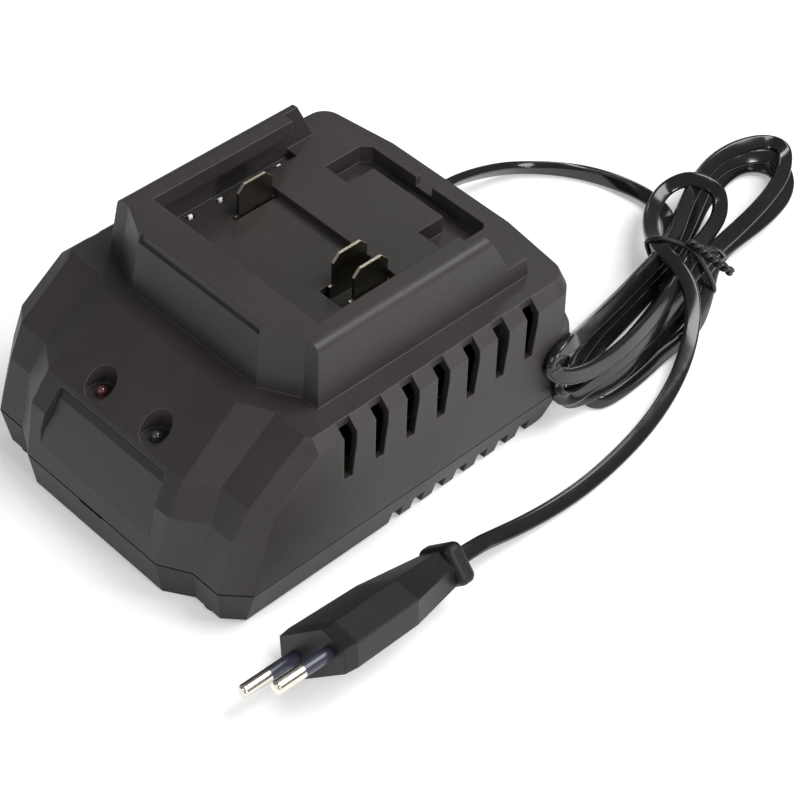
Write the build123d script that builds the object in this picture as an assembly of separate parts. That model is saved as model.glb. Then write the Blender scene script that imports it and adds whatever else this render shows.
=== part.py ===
from build123d import *
import math
import os

# Cordless tool battery charger with a flat mains lead, in millimetres.
# X is the width, Y runs from the sloping front to the rear, Z is up, and the feet stand on Z = 0.

# ---------------------------------------------------------------- driving dimensions
foot_proud = 0.6            # rubber feet below the lower housing
parting_z = 12.9            # joint between the two housings
seam_gap = 0.4              # shadow gap at the joint
seam_deep = 0.4
skirt_top_z = 36.4          # top of the thickened rear wall
skirt_corner_r = 10.0       # its rounded corners
deck_z = 53.8               # flat deck round the battery dock
dock_top_z = 72.7           # top of the dock's rails
platform_z = 59.6           # raised rear floor of the dock
pocket_floor_z = 57.0       # front floor of the dock
wall = 2.2                  # housing wall
roof_drop = 2.2             # cavity roof below the deck
rear_y = 69.55              # rear face of the housings
dock_side = 43.6            # half width of the dock at the deck
dock_top_side = 41.2        # half width of the dock at its top
dock_back_y = 58.4          # rear end of the dock's platform, behind the latch recess
dock_corner_y = 55.2        # rear corners of the platform
dock_back_half = 24.8       # half width of the platform's straight rear edge
latch_half = 24.4           # half width of the latch recess
latch_back_y = 56.5
tongue_half = 14.5          # tongue inside the recess
tongue_back_y = 50.0
latch_ramp_y = (39.9, 44.9)
rail_end_y = 41.5           # rear end of the rails at the top
rail_foot_y = 47.6          # rear end of the rails at the platform
pocket_side = 37.8          # half width of the pocket under the lips
lip_reach = 3.9             # how far the lips stand over the channels
lip_thick = 5.1             # lips, from underside to the dock's top
lip_side = pocket_side - lip_reach
lip_under_z = dock_top_z - lip_thick
floor_slot = 2.0            # width of the small slots in the channel floors
floor_slot_in = 1.2         # from the pocket's wall to a slot
lip_end_y = 36.2            # rear end of the lips
channel_end_y = 37.3        # rear end of the low channel floors
pocket_front_y = -15.8      # front wall of the pocket
step_y = 22.9               # step between pocket floor and platform
edge_round = 3.2            # rounding of the rails' outer top edges
groove_high = 2.6           # rebate under the front flange's top edge

vent_count = 7
vent_pitch = 11.53
vent_front_y = -24.8        # front edge of the first side vent
vent_top_width = 4.66
vent_foot_width = 3.1
vent_foot_z = 34.7
slot_count = 7
slot_pitch = 8.49
slot_front_y = -4.45        # front edge of the first base slot
slot_width = 4.25
slot_top_z = 5.6
slot_inner_x = 46.6

led_x = 11.65
led_y = -54.15
led_well_r = 4.6
led_floor_top_z = 38.6
led_floor_under_z = 36.0
led_r = 1.5
led_flange_r = 1.95
led_tip_z = 41.3

screw_front_y = -48.0
screw_rear_y = 44.0
screw_post_r = 3.5          # posts of the housing screws
post_clear = 1.3            # board to post
screw_shank_r = 1.4
screw_head_r = 2.8
screw_head_h = 1.8
screw_reach_z = 22.0
foot_r = 4.5
foot_thick = 1.2
foot_x = 40.5
foot_front_y = -58.0
foot_rear_y = 58.5

pcb_z = 7.0                 # underside of the circuit board
pcb_thick = 1.6
pcb_half_x = 37.6
pcb_front_y = -59.0
pcb_rear_y = 46.5
pcb_post_r = 3.0
pcb_screw_r = 1.1
pcb_screw_in = 4.0          # board screws from the board's edge
pcb_screws = [(pcb_screw_in - pcb_half_x, pcb_front_y + pcb_screw_in),
              (pcb_half_x - pcb_screw_in, pcb_front_y + pcb_screw_in),
              (pcb_screw_in - pcb_half_x, 28.0), (27.5, pcb_rear_y - 3.5)]
screw_x = pcb_half_x + post_clear + screw_post_r    # housing screws, outside the board
lead_r = 0.4                # component leads
board = pcb_z + pcb_thick   # top of the board

blade_x = (-26.8, 12.8, 21.1)
blade_thick = 0.9
blade_front_y = 8.85
blade_rear_y = 21.55
blade_top_z = lip_under_z
blade_corner = 2.4
blade_tab = 1.3             # foot tabs beyond the blade
stem_front_y = 12.0
stem_rear_y = 18.4
stem_bottom_z = 44.5
carrier_z = 48.0            # underside of the terminal carrier
carrier_thick = 3.0
carrier_boss_z = 52.6       # top of the carrier's raised block
carrier_x0, carrier_x1 = -36.0, 29.5
carrier_y0, carrier_y1 = 4.0, 26.0
near_hole = (12.0, 22.4, 4.5, 23.1)
far_hole = (-27.75, -25.85, 7.0, 23.1)
hole_clear = 0.25
wire_r = 0.9

cord_d = 5.4                # width of the flat lead; its solids are plain round tubes
cord_in = 3.1               # lead's axis inside the board's edge line, clear of the posts
cord_exit_x = cord_in - pcb_half_x
cord_axis_z = 12.9
clamp_y0, clamp_y1 = 53.0, 59.0
clamp_half = 10.5
clamp_screw = 6.6
cord_inner_y = 49.0
gland_neck_r = 4.4
gland_flange_r = 6.0
gland_end_y = 92.0
gland_end_r = 3.5

plug_face = (80.95, -60.55, 14.8)
plug_collar_z = 12.2
plug_length = 53.3
plug_roll = 45.0
pin_spacing = 17.8
pin_r = 2.0
pin_long = 19.0
pin_bare = 9.6
pin_core_r = 1.45
pin_deep = 7.0

hank_height = 14.0
hank_waist = (39.5, 134.0)  # where the twist tie holds the hank
tie_width = 2.4
tie_thick = 0.9

PARTS = {}


# ---------------------------------------------------------------- helpers
def keep(name, shape):
    """File a finished piece under its node name."""
    PARTS[name] = shape


def box(x0, x1, y0, y1, z0, z1):
    """Axis-aligned box from its six limits."""
    return Pos((x0 + x1) / 2, (y0 + y1) / 2, (z0 + z1) / 2) * Box(x1 - x0, y1 - y0, z1 - z0)


def rod(x, y, z0, z1, r):
    """Upright cylinder."""
    return Pos(x, y, (z0 + z1) / 2) * Cylinder(r, z1 - z0)


def rod_y(x, z, y0, y1, r, r_end=None):
    """Cylinder or cone along Y."""
    turn = Pos(x, (y0 + y1) / 2, z) * Rot(-90, 0, 0)
    if r_end is None:
        return turn * Cylinder(r, y1 - y0)
    return turn * Cone(r, r_end, y1 - y0)


def prism_z(points, z0, z1):
    """Plan polygon raised from z0 to z1."""
    face = make_face(Polyline(*[(x, y, z0) for x, y in points], close=True))
    return extrude(face, z1 - z0, dir=(0, 0, 1))


def prism_x(points, x0, x1):
    """Side-view polygon (y, z) run from x0 to x1."""
    face = make_face(Polyline(*[(x0, y, z) for y, z in points], close=True))
    return extrude(face, x1 - x0, dir=(1, 0, 0))


def prism_y(points, y0, y1):
    """Front-view polygon (x, z) run from y0 to y1."""
    face = make_face(Polyline(*[(x, y0, z) for x, z in points], close=True))
    return extrude(face, y1 - y0, dir=(0, 1, 0))


def both_sides(shape):
    """A piece and its mirror image in the YZ plane."""
    return shape + mirror(shape, about=Plane.YZ)


def mitred(points, inset):
    """Polygon (anticlockwise) with every side moved inwards by inset."""
    out = []
    n = len(points)
    for i in range(n):
        (ax, ay), (bx, by), (cx, cy) = points[i - 1], points[i], points[(i + 1) % n]
        ux, uy = bx - ax, by - ay
        vx, vy = cx - bx, cy - by
        lu, lv = math.hypot(ux, uy), math.hypot(vx, vy)
        ux, uy, vx, vy = ux / lu, uy / lu, vx / lv, vy / lv
        nx, ny = -uy - vy, ux + vx
        k = inset / (1 + ux * vx + uy * vy)
        out.append((bx + nx * k, by + ny * k))
    return out


def level(points, z, corner_r, inset=0.0):
    """Face of one level, its two rearmost-side corners rounded."""
    pts = mitred(points, inset) if inset else points
    face = make_face(Polyline(*[(x, y, z) for x, y in pts], close=True))
    wide = max(x for x, y in pts)
    back = max(y for x, y in pts) - 12
    corners = [v for v in face.vertices() if abs(abs(v.X) - wide) < 0.01 and v.Y > back]
    return fillet(corners, corner_r - inset)


def skin(levels, inset=0.0, drops=None):
    """Ruled solid through levels of (points, z, corner radius)."""
    drops = drops or [0.0] * len(levels)
    faces = [level(p, z - d, r, inset) for (p, z, r), d in zip(levels, drops)]
    return loft(faces, ruled=True)


def front(bump, step, shoulder, corner):
    """Anticlockwise front half-outline, mirrored, as the start of a level's polygon."""
    side = [bump, step, shoulder, corner]
    return [(-x, y) for x, y in reversed(side)] + side


def lerp(a, b, t):
    """Level points between two others."""
    return [(ax + (bx - ax) * t, ay + (by - ay) * t) for (ax, ay), (bx, by) in zip(a, b)]


# ---------------------------------------------------------------- housing outlines
base_low = front((27.8, -67.65), (35.8, -62.45), (46.0, -62.45), (51.2, -57.55))
base_top = front((28.0, -69.55), (37.4, -64.35), (47.6, -64.35), (54.65, -57.55))
knee = front((29.5, -65.45), (38.9, -58.85), (47.6, -58.85), (54.4, -52.55))
brow = front((28.8, -59.15), (37.4, -53.45), (48.5, -53.45), (54.25, -48.75))
edge = front((27.5, -43.75), (37.25, -38.4), (48.65, -38.4), (54.2, -33.55))
deck = front((27.1, -38.85), (37.2, -33.65), (48.7, -33.65), (50.66, -32.95))


def rear4(outline, back, corner=3.3, flat_half=24.0):
    """Level with slanting rear corners and a flat middle, `back` in front of the rear face."""
    half, y = outline[-1][0], rear_y - back
    return outline + [(half, y - corner), (flat_half, y), (-flat_half, y), (-half, y - corner)]


def rear2(outline, back=0.0):
    """Level with a rear end that is square before its corners are rounded."""
    half, y = outline[-1][0], rear_y - back
    return outline + [(half, y), (-half, y)]


knee_z, brow_z, edge_z = 29.7, 39.3, 50.3
lower_levels = [(rear2(base_low, 2.55), foot_proud, 11.5),
                (rear2(base_top), parting_z, skirt_corner_r)]
upper_levels = [(rear4(base_top, 1.35), parting_z, 8.6),
                (rear4(knee, 1.35), knee_z, 8.6),
                (rear4(brow, 1.55, 3.2), brow_z, 8.6),
                (rear4(edge, 1.75, 3.35), edge_z, 8.4),
                (rear4(deck, 2.3, 3.5), deck_z, 6.0)]
upper_drops = [0.0, 1.2, 1.8, roof_drop, roof_drop]


def skirt_level(z, back, side, inset=0.0):
    """One level of the thickened rear wall, its front hidden in the housing."""
    pts = [(-side, 30.0), (side, 30.0), (side, rear_y - back), (-side, rear_y - back)]
    return level(pts, z, skirt_corner_r, inset)


def skirt(inset=0.0, drop=0.0):
    """Thickened rear wall with its rounded top."""
    side = edge[-1][0]
    steps = [(parting_z, 0.0, base_top[-1][0]), (skirt_top_z - 9.0, 0.0, knee[-1][0]),
             (skirt_top_z - 6.4, 0.0, brow[-1][0]), (skirt_top_z - 3.4, 0.35, side),
             (skirt_top_z - 1.4, 1.2, side - 0.05), (skirt_top_z, 2.6, side - 0.1)]
    faces = [skirt_level(z - (drop if i else 0), b, s, inset) for i, (z, b, s) in enumerate(steps)]
    return loft(faces, ruled=True)


# ---------------------------------------------------------------- battery dock
dock_foot = [(-26.2, -31.15), (26.2, -31.15), (37.9, -24.85), (dock_side, -24.4),
             (dock_side, dock_corner_y), (dock_back_half, dock_back_y), (-dock_back_half, dock_back_y),
             (-dock_side, dock_corner_y), (-dock_side, -24.4), (-37.9, -24.85)]
dock_top = [(-24.9, -28.05), (24.9, -28.05), (36.4, -22.45), (dock_top_side, -22.15),
            (dock_top_side, dock_corner_y), (dock_back_half, dock_back_y), (-dock_back_half, dock_back_y),
            (-dock_top_side, dock_corner_y), (-dock_top_side, -22.15), (-36.4, -22.45)]


def flat_face(points, z):
    """Plan polygon as a face."""
    return make_face(Polyline(*[(x, y, z) for x, y in points], close=True))


dock = loft([flat_face(dock_foot, deck_z), flat_face(dock_top, dock_top_z)], ruled=True)
dock += prism_z(dock_foot, deck_z - roof_drop, deck_z)
long_edges = [e for e in dock.edges()
              if abs(e.center().Z - dock_top_z) < 0.01 and abs(abs(e.center().X) - dock_top_side) < 0.3
              and e.length > 50]
dock = fillet(long_edges, edge_round)
dock -= prism_x([(rail_end_y, dock_top_z + 1), (rail_end_y, dock_top_z), (rail_foot_y, platform_z),
                 (dock_back_y + 5, platform_z), (dock_back_y + 5, dock_top_z + 1)], -60, 60)

pocket = box(-pocket_side, pocket_side, pocket_front_y, step_y, pocket_floor_z, lip_under_z)
pocket += box(-pocket_side, pocket_side, step_y, dock_back_y + 1, platform_z, lip_under_z)
pocket += both_sides(box(lip_side - 0.4, pocket_side, step_y - 1, channel_end_y, pocket_floor_z, platform_z + 1))
pocket += box(-lip_side, lip_side, pocket_front_y, dock_back_y + 1, lip_under_z - 0.2, dock_top_z + 1)
pocket += box(-pocket_side, pocket_side, lip_end_y, dock_back_y + 1, lip_under_z - 0.2, dock_top_z + 1)

# Latch recess in the rear platform: a U round a flat tongue, its arms ramped at the front.
ramp_y0, ramp_y1 = latch_ramp_y
arm = prism_x([(ramp_y0, platform_z + 1), (ramp_y0, platform_z), (ramp_y1, deck_z), (tongue_back_y + 1, deck_z),
               (tongue_back_y + 1, platform_z + 1)], tongue_half, latch_half)
latch = both_sides(arm) + prism_z([(-latch_half, tongue_back_y), (latch_half + 1.4, tongue_back_y),
                                   (latch_half + 1.4, latch_back_y - 1.6), (latch_half - 0.2, latch_back_y),
                                   (2.6 - latch_half, latch_back_y), (-latch_half, latch_back_y - 2.6)],
                                  deck_z, platform_z + 1)
latch += prism_x([(ramp_y0, platform_z + 1), (ramp_y0, platform_z), (ramp_y1, deck_z), (tongue_back_y + 1, deck_z),
                  (tongue_back_y + 1, platform_z + 1)], latch_half - 1, latch_half + 1.4)
latch += box(-3.3, 3.3, latch_back_y - 1, dock_back_y + 1, platform_z - 3.4, platform_z + 1)

groove_z = dock_top_z - groove_high
groove = prism_x([(-40, dock_top_z + 1), (-24.0, dock_top_z + 1), (-24.0, groove_z), (-40, groove_z)], -24.9, 24.9)
groove -= loft([flat_face(mitred(dock_foot, 0.9), deck_z), flat_face(mitred(dock_top, 0.9), dock_top_z)],
               ruled=True)

# ---------------------------------------------------------------- upper housing
upper_outer = skin(upper_levels) + skirt() + dock
cavity = skin(upper_levels, wall, upper_drops) + skirt(wall, 1.6)
upper = upper_outer - cavity

# Hollows under the dock, open to the cavity.
under_floor = pocket_floor_z - 2.4
under_step = platform_z - 2.4
hollow_side = pocket_side - 2.2
hollow_z = deck_z - 3.8
upper -= box(-hollow_side, hollow_side, pocket_front_y - 2.2, step_y + 2.2, hollow_z, under_floor)
upper -= both_sides(box(latch_half + 2.4, hollow_side, step_y + 2.0, channel_end_y + 2.2, hollow_z, under_floor))
upper -= both_sides(box(latch_half + 4.0, hollow_side, channel_end_y + 2.1, 52.5, hollow_z, under_step))
upper -= box(-12.2, 12.2, step_y + 2.0, 47.5, hollow_z, under_step)
upper -= prism_z([(-23, -25.4), (23, -25.4), (34, -19.9), (34, -18.0), (-34, -18.0), (-34, -19.9)],
                 hollow_z, dock_top_z - 2.5)

# Thickening behind the label area, and the blank label area itself.
label_foot, label_head = (-68.55, 18.2), (-59.3, 37.3)
backing = prism_x([(-72, 15.5), (-64.2, 15.5), (-57.7, 36.6), (-56.4, 41.0), (-66, 41.0)], -26.5, 26.5)
upper += backing & upper_outer
label = prism_x([label_foot, label_head, (-60.9, 38.4), (-75, 38.4), (-75, 18.2)], -40, 40)
label &= prism_y([(-21.5, 18.0), (21.5, 18.0), (23.4, 18.9), (24.3, 24.0), (22.8, 36.2), (21.5, 38.4),
                  (-21.5, 38.4), (-22.8, 36.2), (-24.3, 24.0), (-23.4, 18.9)], -80, -50)

# Wells of the two indicators.
well_boss = rod(led_x, led_y, led_floor_under_z, 60, led_well_r + 1.9)
upper += both_sides(well_boss) & upper_outer
upper -= both_sides(rod(led_x, led_y, led_floor_top_z, 60, led_well_r))
upper -= both_sides(rod(led_x, led_y, 30, 60, led_r))
upper -= label

# Posts for the housing screws, and pads for the carrier's screws.
screw_xy = [(sx * screw_x, sy) for sx in (-1, 1) for sy in (screw_front_y, screw_rear_y)]
posts = Part()
pilots = Part()
for x, y in screw_xy:
    posts += rod(x, y, parting_z + 0.2, 60, screw_post_r)
    pilots += rod(x, y, parting_z - 1, screw_reach_z + 1.5, screw_shank_r)
upper += posts & skin(upper_levels, 0.6, upper_drops)
upper -= pilots
carrier_top = carrier_z + carrier_thick
carrier_xy = [(-33.4, 7.0), (-33.4, 23.0), (1.0, 15.0), (26.9, 7.0)]
for x, y in carrier_xy:
    upper += rod(x, y, carrier_top, under_floor + 0.5, 2.6)
    upper -= rod(x, y, carrier_top - 1, carrier_top + 4.2, 1.0)

upper -= pocket
upper -= latch
upper -= groove
for x0, x1, y0, y1 in (near_hole, far_hole):
    upper -= box(x0, x1, y0, y1, hollow_z, pocket_floor_z + 1)

# Small slots through the channel floors.
for k in range(4):
    y = -3.0 + 11.23 * k
    slot_x = pocket_side - floor_slot_in
    upper -= both_sides(box(slot_x - floor_slot, slot_x, y, y + 2.8, hollow_z, pocket_floor_z + 1))

# Side vents, wide at the top and cut over the chamfer up to the deck.
for k in range(vent_count):
    y = vent_front_y + vent_pitch * k
    lean = vent_top_width - vent_foot_width
    cut = prism_x([(y, vent_foot_z), (y + vent_foot_width, vent_foot_z),
                   (y + vent_top_width, 46.0), (y + vent_top_width, deck_z + 1), (y, deck_z + 1)],
                  deck[-1][0], base_top[-1][0] + 5)
    cut += prism_x([(y, vent_foot_z), (y + vent_foot_width, vent_foot_z),
                    (y + vent_top_width, 46.0), (y + vent_top_width, 51.0), (y, 51.0)], 47.5, 52)
    upper -= both_sides(cut)

# Rebate for the lower housing's tongue, and the mark of the pry slot.
rebate_pts = rear2(base_top)
rebate = extrude(level(rebate_pts, parting_z - 1, skirt_corner_r, 1.2), 3.0, dir=(0, 0, 1))
rebate -= extrude(level(rebate_pts, parting_z - 1, skirt_corner_r, 4.0), 3.0, dir=(0, 0, 1))
for x, y in screw_xy:
    rebate -= rod(x, y, 0, knee_z, screw_post_r)
upper -= rebate

# Shadow gap all round the joint.
seam = box(-70, 70, -80, 80, parting_z - 1, parting_z + seam_gap)
seam -= extrude(level(rebate_pts, parting_z - 1, skirt_corner_r, seam_deep), 3.0, dir=(0, 0, 1))
upper -= seam

# ---------------------------------------------------------------- lower housing
lower_outer = skin(lower_levels)
tray = skin([(p, z, r) for p, z, r in lower_levels], wall)
tray = Pos(0, 0, wall) * tray
lower = lower_outer - tray
# The raised rim that locates the upper housing.
rim = extrude(level(rebate_pts, parting_z - 1.2, skirt_corner_r, 1.35), 2.9, dir=(0, 0, 1))
rim -= extrude(level(rebate_pts, parting_z - 1.2, skirt_corner_r, wall + 0.05), 2.9, dir=(0, 0, 1))
lower += rim
floor_z = foot_proud + wall
for k in range(slot_count):
    y = slot_front_y + slot_pitch * k
    lower -= both_sides(box(slot_inner_x, base_top[-1][0] + 5, y, y + slot_width, 0, slot_top_z))
for x, y in screw_xy:
    lower += rod(x, y, foot_proud, parting_z, screw_post_r)
    lower -= rod(x, y, 0, foot_proud + 3.2, screw_head_r + 0.2)
    lower -= rod(x, y, 0, parting_z + 1, screw_shank_r + 0.2)
for x, y in pcb_screws:
    lower += rod(x, y, floor_z - 0.2, pcb_z, pcb_post_r)
    lower -= rod(x, y, floor_z, pcb_z + 1, pcb_screw_r)
lower -= box(-5.0, 5.0, -72, -68.6, parting_z - 0.8, parting_z + 1)
feet = Part()
for sx in (-1, 1):
    for y in (foot_front_y, foot_rear_y):
        pad = rod(sx * foot_x, y, 0, foot_thick, foot_r)
        lower -= rod(sx * foot_x, y, foot_proud - 0.5, foot_thick, foot_r)
        feet += pad

# Saddle under the lead, and its clamp.
saddle = box(cord_exit_x - clamp_half, cord_exit_x + clamp_half, clamp_y0, clamp_y1, floor_z - 0.2, cord_axis_z)
bore = rod_y(cord_exit_x, cord_axis_z, clamp_y0 - 20, rear_y + 5, cord_d / 2)
lower += saddle
lower -= bore
clamp = box(cord_exit_x - clamp_half, cord_exit_x + clamp_half, clamp_y0, clamp_y1, cord_axis_z,
            cord_axis_z + cord_d / 2 + 2.0) - bore
clamp_screws = Part()
for sx in (-1, 1):
    x, y = cord_exit_x + sx * clamp_screw, (clamp_y0 + clamp_y1) / 2
    top = cord_axis_z + cord_d / 2 + 2.0
    screw = rod(x, y, top, top + 1.4, 2.3) + rod(x, y, 6.0, top, 1.2)
    screw -= box(x - 1.7, x + 1.7, y - 0.3, y + 0.3, top + 0.8, top + 2)
    screw -= box(x - 0.3, x + 0.3, y - 1.7, y + 1.7, top + 0.8, top + 2)
    clamp -= rod(x, y, 0, 40, 1.2)
    lower -= rod(x, y, 6.0, 40, 1.2)
    clamp_screws += screw

# Strain relief: flange inside, neck in the wall, ribbed taper outside.
flange_y0, flange_y1 = rear_y - 4.95, rear_y - 2.2
gland = rod_y(cord_exit_x, cord_axis_z, flange_y0, flange_y1, gland_flange_r)
gland += rod_y(cord_exit_x, cord_axis_z, flange_y1 - 0.1, rear_y, gland_neck_r)
gland += rod_y(cord_exit_x, cord_axis_z, rear_y, rear_y + 2.0, gland_neck_r + 1.2)
gland += rod_y(cord_exit_x, cord_axis_z, rear_y + 2.0, gland_end_y, gland_neck_r, gland_end_r)
housing_cut = rod_y(cord_exit_x, cord_axis_z, flange_y0 - 4.6, flange_y1, gland_flange_r)
housing_cut += rod_y(cord_exit_x, cord_axis_z, flange_y1 - 0.1, rear_y + 5, gland_neck_r)
upper -= housing_cut
lower -= housing_cut
for k in range(4):
    y = rear_y + 5.0 + 4.4 * k
    gland -= rod_y(cord_exit_x, cord_axis_z, y, y + 1.4, 10) - rod_y(cord_exit_x, cord_axis_z, y - 1, y + 3, 3.3)
gland -= rod_y(cord_exit_x, cord_axis_z, cord_inner_y, gland_end_y + 5, cord_d / 2)

keep("upper_housing", upper)
keep("lower_housing", lower)
keep("rubber_feet", feet)
keep("cord_clamp", clamp)
keep("clamp_screws", clamp_screws)
keep("strain_relief", gland)

screws = Part()
for x, y in screw_xy:
    z0 = foot_proud + 3.2
    screw = rod(x, y, z0 - screw_head_h, z0, screw_head_r) + rod(x, y, z0, screw_reach_z, screw_shank_r)
    screw -= box(x - 1.8, x + 1.8, y - 0.35, y + 0.35, 0, z0 - screw_head_h + 0.9)
    screw -= box(x - 0.35, x + 0.35, y - 1.8, y + 1.8, 0, z0 - screw_head_h + 0.9)
    screws += screw
keep("housing_screws", screws)

# ---------------------------------------------------------------- circuit board and its components
leads = []                  # every lead that passes through the board


def pin(x, y, top):
    """One component lead, soldered through the board."""
    leads.append((x, y))
    return rod(x, y, pcb_z - 0.8, top, lead_r)


def legged(body, points, top):
    """A component body with its leads."""
    for x, y in points:
        body += pin(x, y, top)
    return body


# Transformer: two E-cores round a bobbin with its winding.
tx, ty = 2.0, 8.0
core_z = board + 3.0
core = box(tx - 15, tx + 15, ty - 6, ty + 6, core_z, core_z + 24)
core -= Pos(tx, ty, 0) * both_sides(box(4.8, 10.6, -8, 8, core_z + 4.2, core_z + 19.8))
bobbin = box(tx - 5.9, tx + 5.9, ty - 7.1, ty + 7.1, core_z + 4.2, core_z + 19.8)
bobbin -= box(tx - 4.8, tx + 4.8, ty - 6, ty + 6, core_z, core_z + 24)
for z in (core_z + 4.2, core_z + 18.6):
    plate = box(tx - 10.6, tx + 10.6, ty - 11, ty + 11, z, z + 1.2)
    plate -= box(tx - 4.8, tx + 4.8, ty - 6, ty + 6, core_z, core_z + 24)
    bobbin += plate
for side in (-1, 1):
    rail = box(tx - 12, tx + 12, ty + side * 11 - 2.0, ty + side * 11 + 2.0, board, core_z + 4.2)
    if side < 0:
        rail = box(tx - 12, tx + 12, ty - 12, ty - 6.0, board, core_z + 4.2)
    else:
        rail = box(tx - 12, tx + 12, ty + 6.0, ty + 12, board, core_z + 4.2)
    bobbin += rail
bobbin = legged(bobbin, [(tx + dx, ty + s * 10) for dx in (-9, -3, 3, 9) for s in (-1, 1)], board + 0.5)
wz0, wz1 = core_z + 5.4, core_z + 18.6
winding = box(tx - 9.6, tx + 9.6, ty - 10, ty + 10, wz0, wz1)
winding = fillet(winding.edges().filter_by(Axis.Z), 3.4)
winding -= box(tx - 5.9, tx + 5.9, ty - 7.1, ty + 7.1, wz0 - 1, wz1 + 1)
keep("transformer_core", core)
keep("transformer_bobbin", bobbin)
keep("transformer_winding", winding)

# Mains side: fuse, choke, suppression capacitors, rectifier, bulk capacitor.
fuse_x, fuse_y, fuse_z = -22.0, 43.0, board + 2.8
fuse = Pos(fuse_x, fuse_y, fuse_z) * Rot(0, 90, 0) * Cylinder(2.4, 8.4)
for s in (-1, 1):
    fuse += Pos(fuse_x + s * 5.2, fuse_y, fuse_z) * Rot(0, 90, 0) * Cylinder(2.6, 2.4)
    fuse = fuse + box(fuse_x + s * 5.8 - 0.4, fuse_x + s * 5.8 + 0.4, fuse_y - 0.6, fuse_y + 0.6,
                      board, fuse_z)
    fuse += pin(fuse_x + s * 5.8, fuse_y, board + 0.5)
keep("fuse", fuse)

cx, cy = -2.0, 36.0
choke_core = box(cx - 8, cx + 8, cy - 4, cy + 4, board + 2.4, board + 18.4)
choke_core -= box(cx - 4, cx + 4, cy - 6, cy + 6, board + 6.4, board + 14.4)
choke_winding = Part()
for s in (-1, 1):
    coil = box(cx + s * 6 - 3.9, cx + s * 6 + 3.9, cy - 6, cy + 6, board + 6.6, board + 14.2)
    coil = fillet(coil.edges().filter_by(Axis.Z), 1.8)
    coil -= box(cx - 8, cx - 4, cy - 4, cy + 4, 0, 60)
    coil -= box(cx + 4, cx + 8, cy - 4, cy + 4, 0, 60)
    for d in (-5.2, 5.2):
        coil += pin(cx + s * 6, cy + d, board + 7.0)
    choke_winding += coil
choke_core += box(cx - 8, cx + 8, cy - 3.6, cy + 3.6, board, board + 2.4)
keep("choke_core", choke_core)
keep("choke_winding", choke_winding)

x_cap = box(9.0, 24.0, 31.0, 37.5, board, board + 12)
x_cap = fillet(x_cap.edges().filter_by(Axis.Z), 0.8)
keep("suppression_capacitor", legged(x_cap, [(10.5, 34.2), (22.5, 34.2)], board + 0.5))
bridge = box(9.0, 21.0, 41.0, 44.2, board + 2.0, board + 13.0)
bridge -= box(19.4, 22, 40, 45, board + 11.4, board + 14)
keep("bridge_rectifier", legged(bridge, [(10.5, 42.6), (13.5, 42.6), (16.5, 42.6), (19.5, 42.6)],
                                board + 2.5))
bulk_x, bulk_y, bulk_r = -23.0, 18.0, 8.8
bulk = rod(bulk_x, bulk_y, board, board + 29, bulk_r)
bulk = fillet(bulk.edges().filter_by(GeomType.CIRCLE).sort_by(Axis.Z)[-1], 1.2)
bulk -= rod(bulk_x, bulk_y, board + 2.8, board + 4.0, 20) - rod(bulk_x, bulk_y, 0, 60, bulk_r - 0.5)
keep("bulk_capacitor", legged(bulk, [(bulk_x, bulk_y - 3.7), (bulk_x, bulk_y + 3.7)], board + 0.5))

# Heat sink with its switching transistor, beside the right-hand vents.
sink_x = pcb_half_x - 4.6
sink = box(sink_x, sink_x + 2.0, 4, 40, board, board + 30)
for k in range(4):
    z = board + 5.0 + 7.6 * k
    sink += box(sink_x + 2.0, sink_x + 6.5, 4, 40, z, z + 1.3)
keep("heat_sink", sink)
transistor = box(sink_x - 4.4, sink_x, 22, 32, board + 9, board + 18.5)
transistor += box(sink_x - 1.3, sink_x, 22, 32, board + 18.4, board + 24.5)
t_leads = [(sink_x - 2.4, 24.5), (sink_x - 2.4, 27.0), (sink_x - 2.4, 29.5)]
transistor = legged(transistor, t_leads, board + 9.5)
sink_screw = Pos(sink_x - 0.3, 27, board + 21.6) * Rot(0, 90, 0) * Cylinder(1.4, 4.6)
sink_screw += Pos(sink_x - 2.0, 27, board + 21.6) * Rot(0, 90, 0) * Cylinder(2.6, 1.4)
transistor -= Pos(sink_x, 27, board + 21.6) * Rot(0, 90, 0) * Cylinder(1.4, 12)
PARTS["heat_sink"] = sink - Pos(sink_x, 27, board + 21.6) * Rot(0, 90, 0) * Cylinder(1.4, 12)
keep("power_transistor", transistor)
keep("heat_sink_screw", sink_screw)

# Low-voltage side: rectifier diode with its plate, filter capacitors, coil, controller.
plate_x = pcb_half_x - 4.6
plate = box(plate_x, plate_x + 1.6, -34, -14, board, board + 22)
diode = box(plate_x - 4.4, plate_x, -29, -19, board + 7, board + 16)
diode += box(plate_x - 1.3, plate_x, -29, -19, board + 15.9, board + 20.5)
keep("output_heat_plate", plate)
keep("output_diode", legged(diode, [(plate_x - 2.4, -26.5), (plate_x - 2.4, -24.0), (plate_x - 2.4, -21.5)],
                            board + 7.5))
filter_caps = Part()
for x, y in ((-15.0, -14.0), (-3.0, -14.0)):
    can = rod(x, y, board, board + 20, 5.0)
    can = fillet(can.edges().filter_by(GeomType.CIRCLE).sort_by(Axis.Z)[-1], 0.9)
    filter_caps += legged(can, [(x - 2.5, y), (x + 2.5, y)], board + 0.5)
keep("filter_capacitors", filter_caps)
ring_x, ring_y = 17.0, -38.0
ring = Pos(ring_x, ring_y, board + 4.0) * Torus(5.8, 3.3)
ring += rod(ring_x, ring_y, board, board + 1.4, 6.2)
keep("filter_coil", legged(ring, [(ring_x - 4, ring_y), (ring_x + 4, ring_y)], board + 0.6))
controller = box(-30.5, -21.0, -8.0, -1.6, board + 0.8, board + 4.2)
legs = [(-29.6 + 2.54 * i, y) for i in range(4) for y in (-8.6, -1.0)]
for x, y in legs:
    controller += box(x - 0.5, x + 0.5, min(y, -8.0 if y < -5 else -1.6), max(y, -8.0 if y < -5 else -1.6),
                      board + 2.2, board + 2.7)
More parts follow.
